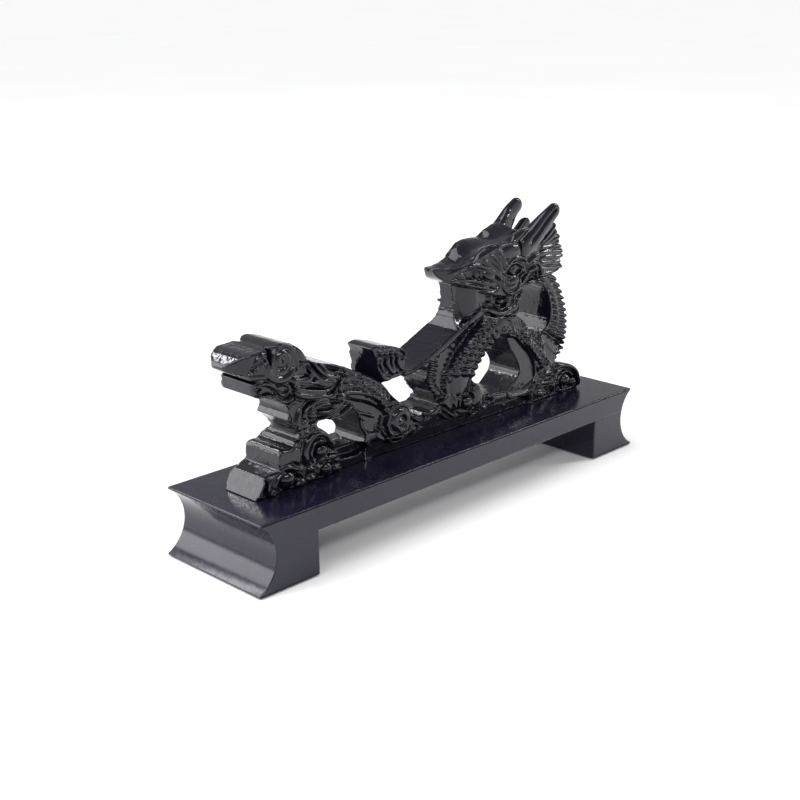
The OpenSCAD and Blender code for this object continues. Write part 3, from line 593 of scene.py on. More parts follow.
def carve_arch(r):
    """The arch of the back: slanted ribs that end in spines, and a smooth hollow below."""
    r.area([(66, 92), (86, 98), (92, 86), (97, 68), (94, 55), (88, 48), (78, 56), (78, 66), (82, 76),
            (78, 88)],
           9.8, 1.0)
    phase = (r.x * SPINE_SLANT[0] + r.z * SPINE_SLANT[1]) / SPINE_PITCH
    rib = np.abs(np.sin(math.pi * phase)) ** 0.7
    for path, width, shift in (([(79, 95), (85.4, 88), (89.4, 80), (91.6, 72), (91.8, 64), (90, 57)], 4.4,
                                0),
                               ([(74, 94.4), (80, 89), (84.2, 81), (85.6, 73), (84.8, 67)], 3.2, 0.5)):
        part, gap, _, _ = r.along(path, width)
        fill = soft_step((width - gap) / 0.8)
        ribs = rib[part] if shift == 0 else np.abs(np.cos(math.pi * phase[part])) ** 0.7
        r.h[part] += 1.9 * fill * (ribs - 0.35)
    r.lock([(68.6, 94), (74.6, 91.4), (78.8, 86.6), (81.2, 80.4), (81.6, 74), (79.6, 68.6)], 1.3, 1.7, 10,
           (0.05, 0.2))
    # smooth hollow between the last ribs and the coil
    line = [(79, 67.4), (83, 66.2), (87.4, 63), (94, 58.6), (91, 55.6), (88, 53.6), (84, 55.6), (80, 60),
            (76, 64)]
    closed = smooth_line(line, closed=True)
    part = r.window(closed, 1)
    inside = soft_step(-signed_distance(closed, np.roll(closed, -1, 0), r.x[part], r.z[part]) / 0.5)
    slope = 10.2 - 0.42 * np.maximum((r.x[part] - 76) * 0.6 + (r.z[part] - 63.4) * 0.8, 0)
    r.blend(part, slope, inside)


def carve_spines(silhouette, r):
    """Notches between the spines along the outside of the arch."""
    part, gap, _, _ = r.along(ARCH_OUTSIDE, 4)
    phase = (r.x[part] * SPINE_SLANT[0] + r.z[part] * SPINE_SLANT[1]) / SPINE_PITCH
    notch = (1 - np.abs(np.sin(math.pi * phase))) ** 1.6
    silhouette[part] += 1.7 * notch * soft_step((4 - gap) / 3)


def carve_end_cloud(r):
    """The hind claw and the cloud at the right-hand end."""
    r.area([(70, 38), (71, 43.4), (78, 46.6), (85, 44.6), (85, 38)], 9.8, 0.8)
    r.lock([(75, 44), (79, 45.4), (82.6, 45.4), (84.6, 44)], 1.1, 2.0, 10.4)
    r.lock([(74, 42.4), (78.6, 43.2), (84, 42.6)], 1.0, 1.9, 10.2)
    r.lock([(72.4, 38.6), (74.6, 40.6), (79, 40.6), (84.4, 40)], 1.4, 2.0, 10.2)
    r.dome(73.6, 39, 1.8, 1.6, 1.6, 10.4, 40)
    r.area([(71, 31), (71, 38), (85, 38), (85, 31)], 9.2, 0.8)
    r.dome(77, 34.6, 4.4, 1.8, 1.4, 9.2, -8)
    r.area([(85, 31), (85, 45), (94, 47), (104, 42.6), (108, 36), (108, 31)], 9.2, 1.4)
    r.lock([(86, 45.6), (92, 46.6), (99, 44.8), (104.6, 41), (107, 36), (107.4, 32)], 1.6, 1.8, 9.8, (0.1,
                                                                                                      0.1))
    r.lock([(85.6, 41.6), (89, 43.6), (94, 44)], 1.0, 1.5, 9.6, (0.2, 0.3))
    r.lock([(89.8, 34), (89.8, 38.4), (92.6, 41.6), (97, 42), (101.4, 39.8), (104.6, 37)], 1.1, 1.8, 9.2,
           (0.1, 0.2))
    r.area(oval(95.8, 37.8, 4.8, 4.4), 8.4, 1.0)
    r.area(oval(102.6, 35.4, 3.8, 3.4), 8.4, 1.0)
    r.dome(87, 36.6, 2.2, 3.6, 1.4, 9.2, 10)
    r.dome(93, 33, 3.6, 1.0, 1.2, 9.2, -5)


def carve_big_head(r):
    """The big head: a leaf-shaped nose, rolled lips, brows over the eye and a bony cheek."""
    r.area([(2, 113), (30, 117), (53, 119), (64, 123), (73, 114), (72, 92), (60, 92), (48, 90), (20, 99),
            (2, 104)],
           11.2, 0.8)
    # nose and lips
    r.lock([(9, 106), (15, 107.6), (21, 109.6), (31, 113), (39, 115.6), (46, 116.8), (53, 115.8),
            (60, 112.4)], 1.0, 1.4, 10.8, (0.15, 0.1))
    r.area([(12, 104.6), (24, 107.6), (38, 103), (42, 99), (40, 95), (24, 98.6), (14, 101.8)], 10.0, 1.0)
    r.dome(26.4, 104.8, 1.6, 2.8, 2.2, 10.8, 12)
    r.dome(29.4, 104.2, 1.2, 2.2, 1.8, 10.6, 12)
    r.lock([(20.6, 107.4), (25, 109), (30, 108), (36, 105), (41, 101.6), (43.4, 98.6)], 1.1, 2.0, 10.8,
           (0.15, 0.15))
    r.dome(34.6, 103, 4.6, 2.2, 1.8, 10.8, -28)
    r.lock([(15, 104), (21, 102.6), (27, 101.2), (33, 99), (38, 97.6)], 1.1, 1.9, 10.6)
    r.lock([(12, 103.6), (19, 101.4), (26, 99.2), (33, 97.2), (39, 95.8)], 0.9, 1.9, 10.6, (0.1, 0.2))
    r.lock([(29, 102), (34, 99.8), (39, 98.6)], 0.9, 1.8, 10.8)
    r.dome(19, 104.9, 2.6, 1.3, 1.4, 10.6, -12)
    # folds between nose and eye
    for shift, length in ((0, 0), (4.2, 1.6), (8, 3)):
        r.lock([(31 + shift, 110.8 + shift * 0.42), (35.4 + shift, 108 + shift * 0.5),
                (39.6 + shift * 0.7, 104.8), (42.6 + shift * 0.4, 101.6 + length * 0.3)], 1.35, 2.0, 10.6,
               (0.15, 0.15))
    # forehead
    r.dome(50.6, 112.2, 8.4, 4.0, 1.9, 11, -4)
    # eye
    r.area(oval(51.6, 103.6, 7.2, 4.6, 4), 10.2, 1.0)
    r.lock([(44, 103), (47, 107), (52, 109), (57, 108.4), (61.4, 105.8)], 1.2, 2.2, 11, (0.15, 0.15))
    r.lock([(45.2, 102.6), (48.4, 105.8), (52.6, 106.6), (57, 104.8), (59.6, 102.6)], 0.8, 1.6, 10.8, (0.15,
                                                                                                       0.15))
    r.lock([(46.4, 101.8), (49.8, 100.2), (54.4, 100.2), (58.4, 102.4)], 0.9, 1.8, 10.6, (0.15, 0.15))
    r.lock([(60, 104), (64, 105.8), (69, 107.6), (73, 107.4)], 1.3, 1.9, 10.8, (0.2, 0.1))
    # bony cheek
    r.area([(43, 101), (43, 97), (46, 93), (51, 91.4), (57, 94.6), (62, 99), (58, 101), (50, 99.4)], 10.4,
           0.8)
    r.dome(51.6, 96.8, 6.0, 3.6, 1.9, 10.6, 16)
    r.groove([(45, 98), (48.4, 96.6), (52.6, 96.9)], 0.6, 0.9)
    r.lock([(44.2, 102), (43.2, 98), (45.4, 94), (50, 92), (54.6, 93.6), (58.6, 96.8), (62, 99.8),
            (66, 102), (69.8, 100.8)], 1.0, 2.0, 10.8, (0.1, 0.1))
    row(r, [(56, 94.6), (60, 98.2), (64, 101), (67.4, 102)], 1.3, 0.6, 1.3, 1.0, 35)
    # jaw hinge
    r.area([(60, 97), (66, 100.4), (72, 99), (73, 94), (60, 93)], 9.8, 0.8)
    r.lock([(61, 102.4), (65.4, 104.6), (70, 103.4), (72.4, 99.8), (73, 96)], 1.2, 2.0, 11, (0.2, 0.1))
    r.lock([(60.4, 96), (64, 97.8), (66.4, 98.4)], 0.8, 1.8, 10.4)
    r.dome(69.4, 98.4, 1.1, 2.2, 1.8, 10.6, -10)
    r.dome(67.2, 99, 0.8, 1.8, 1.6, 10.6, -10)
    r.dome(65, 94.8, 5, 1.5, 1.4, 10.6, 6)
    r.dome(65.6, 112, 4.4, 3.4, 1.3, 11, 30)


def carve_lower_jaw(r):
    """The lower jaw: a lip with a beard below it and a tongue inside."""
    r.area([(31, 98), (32, 86), (45, 81), (57, 83), (61, 91), (57, 94), (50, 91.4), (44, 94)], 7.6, 0.8)
    r.area([(49, 81), (57, 82.6), (58, 87), (61.4, 91), (61, 95), (52, 94), (49.4, 88)], 9.4, 1.2)
    r.lock([(34, 86.8), (39, 84.6), (45, 82.8), (51, 83.2), (56.6, 84.4)], 1.5, 1.4, 9.6, (0.1, 0.05))
    r.lock([(40.4, 87.4), (43.6, 85.4), (47.6, 85.4), (50, 87.4)], 0.8, 2.0, 8.8)
    r.dome(44.6, 88.8, 2.4, 1.9, 2.4, 8.2, -10)
    r.dome(48.4, 90, 1.2, 1.6, 1.8, 8.2)
    r.dome(36.6, 88.6, 1.8, 1.5, 1.8, 8.2, 20)
    r.dome(34, 86.4, 1.8, 1.4, 1.8, 8.4, 30)
    r.lock([(56, 83.6), (56.6, 87), (59.8, 90), (60.6, 94)], 1.5, 0.9, 10.1, (0.05, 0.05))
    r.lock([(52.6, 84.4), (54, 88), (56.6, 91.6)], 0.9, 1.1, 9.8, (0.1, 0.2))
    r.lock([(36, 91.6), (39, 92.8), (42.4, 92.4)], 0.8, 1.8, 8.4)
    r.groove([(40, 92), (39, 90), (40.4, 87.6)], 0.7, 1.4)


# ---- From the relief to solid pieces --------------------------------------------

EDGE_ROUND = 0.7
SEAM_OVERLAP = 1.2 * STEP


def round_max(a, b, radius):
    """The common part of two solids with its edge rounded."""
    out = np.hypot(np.maximum(a + radius, 0), np.maximum(b + radius, 0)) - radius
    return np.where((a > -radius) & (b > -radius), out, np.maximum(a, b))


def solid_to_mesh(name, field, low):
    """A closed mesh where field, in millimetres over a box from low, is zero."""
    grid = openvdb.FloatGrid(3 * STEP)
    grid.copyFromArray(np.clip(field, -3 * STEP, 3 * STEP).astype(np.float32))
    grid.gridClass = openvdb.GridClass.LEVEL_SET
    grid.transform = openvdb.createLinearTransform(voxelSize=STEP)
    points, triangles, quads = grid.convertToPolygons(isovalue=0.0, adaptivity=0.0)
    points = (points + np.array(low)) * MM
    mesh = bpy.data.meshes.new(name)
    faces = [tuple(q[::-1]) for q in quads.tolist()] + [tuple(t[::-1]) for t in triangles.tolist()]
    mesh.from_pydata(points.tolist(), [], faces)
    mesh.validate()
    mesh.shade_smooth()
    return mesh


def link(name, data):
    """A new object for a mesh or a lamp, at the origin."""
    piece = bpy.data.objects.new(name, data)
    bpy.context.scene.collection.objects.link(piece)
    return piece


def hand_in(piece, material, slot, *stands_for):
    """Gives a piece its material, its body and the CAD nodes that it stands for."""
    piece.data.materials.clear()
    piece.data.materials.append(material)
    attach(piece, "root")
    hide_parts(*stands_for)


# ---- Materials -------------------------------------------------------------------


def new_material(name):
    """A material with its node tree and its shader."""
    material = bpy.data.materials.new(name)
    material.use_nodes = True
    tree = material.node_tree
    shader = tree.nodes["Principled BSDF"]
    return material, tree, shader


def noise(tree, scale, detail=3, rough=0.5):
    """Noise over the object's own space, with its scale in features per metre."""
    place = tree.nodes.new("ShaderNodeTexCoord")
    texture = tree.nodes.new("ShaderNodeTexNoise")
    texture.inputs["Scale"].default_value = scale
    texture.inputs["Detail"].default_value = detail
    texture.inputs["Roughness"].default_value = rough
    tree.links.new(place.outputs["Object"], texture.inputs["Vector"])
    return texture.outputs["Fac"]


def ramp(tree, source, low, high, first, last):
    """Maps source from low..high to first..last, which are two numbers or two colours."""
    if isinstance(first, (int, float)):
        node = tree.nodes.new("ShaderNodeMapRange")
        node.inputs["From Min"].default_value = low
        node.inputs["From Max"].default_value = high
        node.inputs["To Min"].default_value = first
        node.inputs["To Max"].default_value = last
        tree.links.new(source, node.inputs["Value"])
        return node.outputs["Result"]
    node = tree.nodes.new("ShaderNodeValToRGB")
    node.color_ramp.elements[0].position = low
    node.color_ramp.elements[1].position = high
    node.color_ramp.elements[0].color = (*first, 1)
    node.color_ramp.elements[1].color = (*last, 1)
    tree.links.new(source, node.inputs["Fac"])
    return node.outputs["Color"]


def bump(tree, height, distance, strength, below=None):
    """The normal over a height, laid on top of another normal if one is given."""
    node = tree.nodes.new("ShaderNodeBump")
    node.inputs["Distance"].default_value = distance
    node.inputs["Strength"].default_value = strength
    tree.links.new(height, node.inputs["Height"])
    if below is not None:
        tree.links.new(below, node.inputs["Normal"])
    return node.outputs["Normal"]


def lacquer(name, base, deep, smooth, rough, wave, gloss):
    """Black lacquer: two colours, two roughnesses, how much it waves and its clear coat's roughness."""
    material, tree, shader = new_material(name)
    colour = ramp(tree, noise(tree, 90), 0.3, 0.7, base, deep)
    tree.links.new(colour, shader.inputs["Base Color"])
    tree.links.new(ramp(tree, noise(tree, 160), 0.3, 0.7, smooth, rough), shader.inputs["Roughness"])
    shader.inputs["Specular IOR Level"].default_value = 0.14
    shader.inputs["Specular Tint"].default_value = (0.86, 0.84, 1, 1)
    shader.inputs["Coat Weight"].default_value = 0.62
    shader.inputs["Coat Roughness"].default_value = gloss
    waves = bump(tree, noise(tree, 260, 2), 0.0004, wave)
    grain = bump(tree, noise(tree, 1700, 2), 0.00006, 0.3, waves)
    tree.links.new(grain, shader.inputs["Normal"])
    tree.links.new(grain, shader.inputs["Coat Normal"])
    return material


def plain(name, base, deep, rough, metallic=0.0, grain=400):
    """A simple finish: two close colours in noise, with a fine grain."""
    material, tree, shader = new_material(name)
    tree.links.new(ramp(tree, noise(tree, grain), 0.3, 0.7, base, deep), shader.inputs["Base Color"])
    tree.links.new(ramp(tree, noise(tree, 300), 0.3, 0.7, rough, rough + 0.1), shader.inputs["Roughness"])
    shader.inputs["Metallic"].default_value = metallic
    tree.links.new(bump(tree, noise(tree, grain * 4), 0.0001, 0.2), shader.inputs["Normal"])
    return material


CARVING_COLOURS = (0.002, 0.0018, 0.005), (0.004, 0.0036, 0.009)
BENCH_COLOURS = (0.005, 0.0043, 0.013), (0.008, 0.007, 0.018)
carving_black = lacquer("carving_black", *CARVING_COLOURS, 0.12, 0.2, 0.6, 0.04)
pearl_black = lacquer("pearl_black", *CARVING_COLOURS, 0.1, 0.16, 0.2, 0.03)
bench_black = lacquer("bench_black", *BENCH_COLOURS, 0.18, 0.3, 0.12, 0.16)
beech = plain("beech", (0.62, 0.45, 0.28), (0.52, 0.36, 0.21), 0.55)
black_felt = plain("black_felt", (0.03, 0.03, 0.034), (0.045, 0.045, 0.05), 0.9, grain=1200)
brass = plain("screw_brass", (0.72, 0.56, 0.28), (0.62, 0.47, 0.22), 0.3, 1.0)


# ---- The slab's pieces ------------------------------------------------------------

# half thicknesses along x of the big head, the small head's nose and the throat
HEAD_PLAN = ((3, 0), (4.6, 3.4), (8, 5.4), (14, 7.4), (24, 9.0), (33, 10.4), (41, 11.4))
NOSE_PLAN = ((-119.4, 1.2), (-118.4, 4.4), (-115.8, 8.2), (-111, 10.9), (-105, 13.5))
THROAT_PLAN = ((17, 0), (20, 3.4), (24, 7.6), (28, 8.8))
# the throat's front edge is thin, and widens towards its foot
THROAT_THIN = 3
THROAT_FLARE = 6.5
THROAT_FOOT = 80.5
THROAT_FADE = 5
# heights along x of the valley on top of the big head and of the rims beside it
VALLEY = ((2, 109.4), (14, 107.6), (24, 108.6), (34, 113.2), (46, 115.2), (54, 116.4), (62, 118), (74, 121))
RIM = ((2, 110.6), (12, 109.2), (20, 109.4), (25, 110.6), (29, 114.2), (33, 116.6), (38, 117.6), (46, 117),
       (50, 116.8), (53.4, 120), (60, 121.6), (74, 123))
BEARD_TIP = [(45, 81), (50, 80.2), (55, 79.4), (58.4, 81.4), (58.4, 84), (50, 84), (45, 83)]
# the drilled pieces are cut beside their screws, so that the holes stay hidden inside
DRILLED = ("rock_plinth", "left_post", "hind_claw")
DRILLED_CUT = 3.2
PLAIN_CUT = 0.5
NEAR_SEAM = 0.6
ON_SEAM = 0.05


def outline_of_all(outlines, x, z):
    """Distance to the outline of all pieces together, and to the outline of each."""
    together = signed_distance(*outer_pieces(outlines.values()), x, z)
    covered = np.zeros(x.shape, bool)
    apart = {}
    for name, outline in outlines.items():
        apart[name] = signed_distance(*outline, x, z)
        covered |= apart[name] < ON_SEAM
    together = np.where(covered, -np.abs(together), np.abs(together))
    # the tip of the beard reaches down to the coil
    beard = smooth_line(BEARD_TIP, closed=True)
    beard = signed_distance(beard, np.roll(beard, -1, 0), x, z)
    apart["lower_jaw"] = np.minimum(apart["lower_jaw"], beard)
    return np.minimum(together, beard), apart


def narrow(r, apart):
    """Both snouts and the throat narrow, seen from above."""
    plan = np.interp(r.x, *zip(*HEAD_PLAN)) / HEAD_PLAN[-1][1]
    on_head = (apart["big_head"] < NEAR_SEAM) & (r.x < HEAD_PLAN[-1][0])
    r.h = np.where(on_head, r.h * plan, r.h)
    front = THROAT_THIN + THROAT_FLARE * np.exp(-np.maximum(r.z - THROAT_FOOT, 0) / THROAT_FADE)
    throat = np.maximum(front, np.interp(r.x, *zip(*THROAT_PLAN)))
    r.h = np.where(apart["throat"] < 0, np.minimum(r.h, throat), r.h)
    nose = np.interp(r.x, *zip(*NOSE_PLAN))
    r.h = np.where(apart["small_head"] < NEAR_SEAM, np.minimum(r.h, nose), r.h)


def soften(h, radius):
    """A slight blur, as lacquer fills the fine corners."""
    reach = int(math.ceil(2.5 * radius / STEP))
    weights = np.exp(-0.5 * (np.arange(-reach, reach + 1) * STEP / radius) ** 2)
    weights /= weights.sum()
    for axis in (0, 1):
        h = sum(w * np.roll(h, k, axis) for w, k in zip(weights, range(-reach, reach + 1)))
    return h


def valley(x, y, z):
    """How far a place is above the shallow valley along the top of the big head."""
    middle = np.interp(x, *zip(*VALLEY))
    rim = np.interp(x, *zip(*RIM))
    width = np.interp(x, *zip(*HEAD_PLAN)) - 1.5
    return z - middle - (rim - middle) * soft_step(np.abs(y) / width)


def window_of(gap, reach):
    """The part of the grid where gap is under reach: its first column and row, and its slices."""
    near = np.argwhere(gap < reach)
    i0, k0 = np.maximum(near.min(0) - 1, 0)
    i1, k1 = near.max(0) + 2
    return i0, k0, np.s_[i0:i1, k0:k1]


def beyond_face(ys, height):
    """How far the places ys off the middle plane are beyond a carved face."""
    slope = np.sqrt(1 + np.minimum(sum(g ** 2 for g in np.gradient(height, STEP)), 4))
    return (ys[None, :, None] - height[:, None, :]) / slope[:, None, :]


def slab_piece(name):
    """One piece of the slab, cut from the relief along its seams."""
    i0, k0, part = window_of(seams[name], SEAM_OVERLAP + 2 * STEP)
    across = beyond_face(np.abs(GRID_Y), relief.h[part])
    field = round_max(silhouette[part][:, None, :], across, EDGE_ROUND)
    if name == "big_head":
        x, z = relief.x[part][:, None, :], relief.z[part][:, None, :]
        field = round_max(field, valley(x, GRID_Y[None, :, None], z), 1.0)
    field = np.maximum(field, seams[name][part][:, None, :] - SEAM_OVERLAP)
    low = (GRID_X[i0], GRID_Y[0], GRID_Z[k0] + LIFT)
    return link("carved_" + name, solid_to_mesh(name, field, low))


relief = Relief(GRID_X, GRID_Z)
relief.h += FACE
cuts = {name: section(name, DRILLED_CUT if name in DRILLED else PLAIN_CUT) for name in SLAB}
silhouette, seams = outline_of_all(cuts, relief.x, relief.z)
for carve in (carve_left_clouds, carve_small_head, carve_mane, carve_neck, carve_scrolls, carve_breast,
              carve_coils, carve_claw_and_saddle, carve_arch, carve_end_cloud, carve_lower_jaw,
              carve_big_head):
    carve(relief)
carve_spines(silhouette, relief)
narrow(relief, seams)
relief.h = soften(relief.h, LACQUER_FILL)
for name in SLAB:
    hand_in(slab_piece(name), carving_black, "carving_lacquer", name)

# ---- Horns, ears, manes, eyes and pearls ---------------------------------------------

SIDE_REACH = 14      # how far from the middle plane the grid of a side piece reaches
HORN_LINE = [(60, 113), (66.4, 117.2), (71.6, 121.4), (76.2, 125.2), (80.4, 128)]
# along a horn: half its width in x and z, and how far from the middle plane it starts
HORN_HALF = ((0, 5.8), (0.3, 5.3), (0.7, 4.7), (1, 3.8))
HORN_INSIDE = ((0, 3.5), (0.35, 6.6), (0.8, 9.6), (1, 10.0))
HORN_OUTSIDE = 13.8
# x, z and radius
PEARLS = ((-93, 36.6, 4.3), (-70.5, 35.2, 3.3), (95.6, 38, 3.7), (102.4, 35.4, 2.8))


def carve_side_hair(r):
    """Ribs of the ear and strands of the mane, which both sweep back from the cheek."""
    for tip in ((84.6, 121.2), (86, 118), (88.2, 114.8), (88, 112.2)):
        middle = (0.5 * (68 + tip[0]) + 0.4, 0.5 * (109 + tip[1]) - 0.5)
        r.lock([(68, 109), middle, tip], 1.7, 1.9, 9.6, (0.5, 0.1))
    strands = (((70, 110.2), (77, 110.4), (83.6, 110), (90.2, 109)),
               ((70.6, 107.6), (77, 108), (84, 107), (91.2, 106.4)),
               ((71, 105), (78, 105.6), (85, 104.4), (91.6, 104.2)),
               ((71, 102.6), (78, 102.8), (84, 101.8), (89.6, 101.8)),
               ((71.6, 100), (78, 99.8), (84.6, 98.9), (91.4, 98.7)),
               ((71.4, 97.4), (77, 97.2), (83, 97), (88.6, 97.6)))
    for k, strand in enumerate(strands):
        r.lock(strand, 1.7 if k % 2 else 1.4, 2.2, 9.4, (0.1, 0.12))
    r.dome(74.6, 98.6, 1.5, 1.1, 1.4, 10.4, 10)
    r.dome(70.6, 97.4, 1.2, 2.4, 1.6, 10.2, 10)


def side_piece(name, sign, inner):
    """A piece on one side of the head, from inner millimetres off the middle plane outwards."""
    gap = signed_distance(*section("near_" + name, -inner - 1.5), side.x, side.z)
    i0, k0, part = window_of(gap, 2 * STEP)
    ys = np.arange(math.floor((inner - 1) / STEP), math.ceil(SIDE_REACH / STEP) + 1) * STEP
    field = round_max(gap[part][:, None, :], beyond_face(ys, side.h[part]), EDGE_ROUND)
    field = round_max(field, np.broadcast_to(inner - ys[None, :, None], field.shape), EDGE_ROUND)
    low = (GRID_X[i0], ys[0], GRID_Z[k0] + LIFT)
    return mesh_side(solid_to_mesh(("near_" if sign < 0 else "far_") + name, field, low), sign)


def mesh_side(mesh, sign):
    """Moves a mesh made on the far side over to the near side if sign is -1."""
    if sign < 0:
        mesh.transform(Matrix.Scale(-1, 4, (0, 1, 0)))
        mesh.flip_normals()
    return mesh


def horn(sign):
    """A horn with an oval section and one groove along it."""
    grid = Relief(np.arange(56, 86, STEP), np.arange(106, 134, STEP))
    part, gap, share, turn = grid.along(HORN_LINE, 8)
    full = np.full(grid.x.shape, 9.0)
    full_share, full_turn = np.zeros(grid.x.shape), np.ones(grid.x.shape)
    full[part], full_share[part], full_turn[part] = gap, share, turn
    half = np.interp(full_share, *zip(*HORN_HALF))
    inside = np.interp(full_share, *zip(*HORN_INSIDE))
    across = full * full_turn / half
    outside = HORN_OUTSIDE - 1.3 * np.exp(-((across + 0.15) / 0.16) ** 2) * soft_step(full_share * 4)
    ys = np.arange(math.floor(2.5 / STEP), math.ceil(14.5 / STEP) + 1) * STEP
    middle, thick = (inside + outside) / 2, (outside - inside) / 2
    u = (full / half)[:, None, :]
    v = (ys[None, :, None] - middle[:, None, :]) / thick[:, None, :]
    field = ((u ** 3 + np.abs(v) ** 3) ** (1 / 3) - 1) * np.minimum(half, thick)[:, None, :]
    low = (grid.x[0, 0], ys[0], grid.z[0, 0] + LIFT)
    return mesh_side(solid_to_mesh("near_horn" if sign < 0 else "far_horn", field, low), sign)


def balls(name, places):
    """Smooth balls in one mesh. Each place is x, y, z and the half sizes along y and across it."""
    rings, around = 20, 32
    points, faces = [], []
    for x, y, z, deep, wide in places:
        first = len(points)
        for i in range(rings + 1):
            a = math.pi * i / rings
            for j in range(around):
                b = 2 * math.pi * j / around
                points.append(((x + wide * math.sin(a) * math.cos(b)) * MM, (y + deep * math.cos(a)) * MM,
                               (z + LIFT + wide * math.sin(a) * math.sin(b)) * MM))
        for i in range(rings):
            for j in range(around):
                k = (j + 1) % around
                faces.append((first + i * around + j, first + i * around + k,
                              first + (i + 1) * around + k, first + (i + 1) * around + j))
    mesh = bpy.data.meshes.new(name)
    mesh.from_pydata(points, [], faces)
    mesh.validate()
    mesh.shade_smooth()
    return mesh


side = Relief(GRID_X, GRID_Z)
side.h += SIDE_FACE
carve_side_hair(side)
side.h = soften(side.h, LACQUER_FILL)
for sign, word in ((-1, "near_"), (1, "far_")):
    for name, inner in (("ear", 6.4), ("mane", 1.0)):
        hand_in(link("carved_" + word + name, side_piece(name, sign, inner)), carving_black,
                "carving_lacquer",
                word + name)
    hand_in(link("carved_" + word + "horn", horn(sign)), carving_black, "carving_lacquer", word + "horn")
    eye = balls(word + "eye_ball", [(51.4, sign * 10.1, 103.4, 2.3, 2.5)])
    hand_in(link("carved_" + word + "eye", eye), pearl_black, "pearl_lacquer", word + "eye")

pearls = [(x, sign * 8.8, z, r * 0.98, r) for x, z, r in PEARLS for sign in (-1, 1)]
hand_in(link("cloud_balls", balls("cloud_balls", pearls)), pearl_black, "pearl_lacquer", "cloud_pearls")

# ---- Bench ------------------------------------------------------------------------------

BENCH_HALF = 31.25
BENCH_TOP = LIFT + BOARD_TOP
FOOT_TOP = BENCH_TOP - 11.2
PAD = 0.6
END_X = 125
END_FLARE = 2      # how much further out an end reaches at the ground
END_HOLLOW = 8.6   # how deep the scoop is
END_LIP = 1        # the flat rim above and below the scoop
FOOT_X = 94.4      # a foot's inner face
BEVEL = 0.55
SUPPORT = 0.3      # how far beyond a bevel the flat face starts again
SEAM_LAP = 0.8     # how far a foot reaches up inside the board


def rounded(points, radii, steps=3):
    """An outline whose corners are rounded, each by its own radius. 0 leaves a corner as it is."""
    out = []
    for i, (p, radius) in enumerate(zip(points, radii)):
        if not radius:
            out.append(p)
            continue
        p = np.array(p, float)
        a = np.array(points[i - 1], float) - p
        b = np.array(points[(i + 1) % len(points)], float) - p
        a, b = a / np.hypot(*a), b / np.hypot(*b)
        half = math.acos(np.clip(a @ b, -1, 1)) / 2
        cut = radius / math.tan(half)
        centre = p + (a + b) / np.hypot(*(a + b)) * radius / math.sin(half)
        from_a, from_b = p + a * cut - centre, p + b * cut - centre
        out.append(tuple(p + a * (cut + SUPPORT)))
        for s in np.arange(steps + 1) / steps:
            way = from_a * (1 - s) + from_b * s
            out.append(tuple(centre + way * radius / np.hypot(*way)))
        out.append(tuple(p + b * (cut + SUPPORT)))
    return out


def end_profile(side, low, high, count=28):
    """Points of the scooped end between two heights, from the lower to the upper."""
    bottom = np.array([side * (END_X + END_FLARE), PAD + END_LIP])
    top = np.array([side * END_X, BENCH_TOP - END_LIP])
    chord = np.hypot(*(top - bottom))
    radius = (chord ** 2 / 4 + END_HOLLOW ** 2) / (2 * END_HOLLOW)
    inward = side * np.array([bottom[1] - top[1], top[0] - bottom[0]]) / chord
    centre = (top + bottom) / 2 + inward * (END_HOLLOW - radius)
    ways = [bottom + (top - bottom) * s - centre for s in np.linspace(0, 1, 200)]
    rim = np.array([centre + way * radius / np.hypot(*way) for way in ways])
    heights = np.linspace(max(low, bottom[1]), min(high, top[1]), count)
    return list(zip(np.interp(heights, rim[:, 1], rim[:, 0]), heights))


def prism(name, outline, half):
    """A bar along y with this outline in x and z. Its ends at y = -half and half are bevelled."""
    p = np.array(outline)
    before, after = np.roll(p, 1, 0), np.roll(p, -1, 0)
    u, v = p - before, after - p
    u /= np.hypot(*u.T)[:, None]
    v /= np.hypot(*v.T)[:, None]
    inward = np.stack([-(u + v)[:, 1], (u + v)[:, 0]], 1)
    inward /= (1 + (u * v).sum(1))[:, None]
    rings = [(-half, BEVEL + SUPPORT)]
    for s in range(4):
        a = math.pi / 2 * s / 3
        rings.append((-(half - BEVEL + BEVEL * math.cos(a)), BEVEL * (1 - math.sin(a))))
    rings.append((-(half - BEVEL - SUPPORT), 0))
    rings += [(-y, inset) for y, inset in reversed(rings)]
    points, faces = [], []
    n = len(p)
    for y, inset in rings:
        points += [(x * MM, y * MM, z * MM) for x, z in p + inward * inset]
    for k in range(len(rings) - 1):
        for i in range(n):
            j = (i + 1) % n
            faces.append((k * n + i, k * n + j, (k + 1) * n + j, (k + 1) * n + i))
    faces.append(tuple(range(n))[::-1])
    faces.append(tuple(range((len(rings) - 1) * n, len(rings) * n)))
    mesh = bpy.data.meshes.new(name)
    mesh.from_pydata(points, [], faces)
    mesh.validate()
    mesh.shade_smooth()
    mesh.set_sharp_from_angle(angle=math.radians(38))
    return mesh


def board():
    """The board, with the upper part of the scoop at each end."""
    left, right = end_profile(-1, FOOT_TOP, 99), end_profile(1, FOOT_TOP, 99)
    corners = rounded([right[-1], (END_X, BENCH_TOP), (-END_X, BENCH_TOP), left[-1]], [0, 0.4, 0.4, 0])
    return prism("board", right + corners[1:-1] + left[::-1], BENCH_HALF)


def foot(side):
    """A foot, with the lower part of the scoop on its outer face."""
    outer = end_profile(side, 0, FOOT_TOP + SEAM_LAP)
    inner_x = side * FOOT_X
    low_outer = (side * (END_X + END_FLARE), PAD)
    corners = [outer[0], low_outer, (inner_x, PAD), (inner_x, FOOT_TOP + SEAM_LAP)]
    points = rounded(corners, [0, 0.4, BEVEL, 0])[1:] + outer[::-1][:-1] + [outer[0]]
    return prism("foot", points if side < 0 else points[::-1], BENCH_HALF)


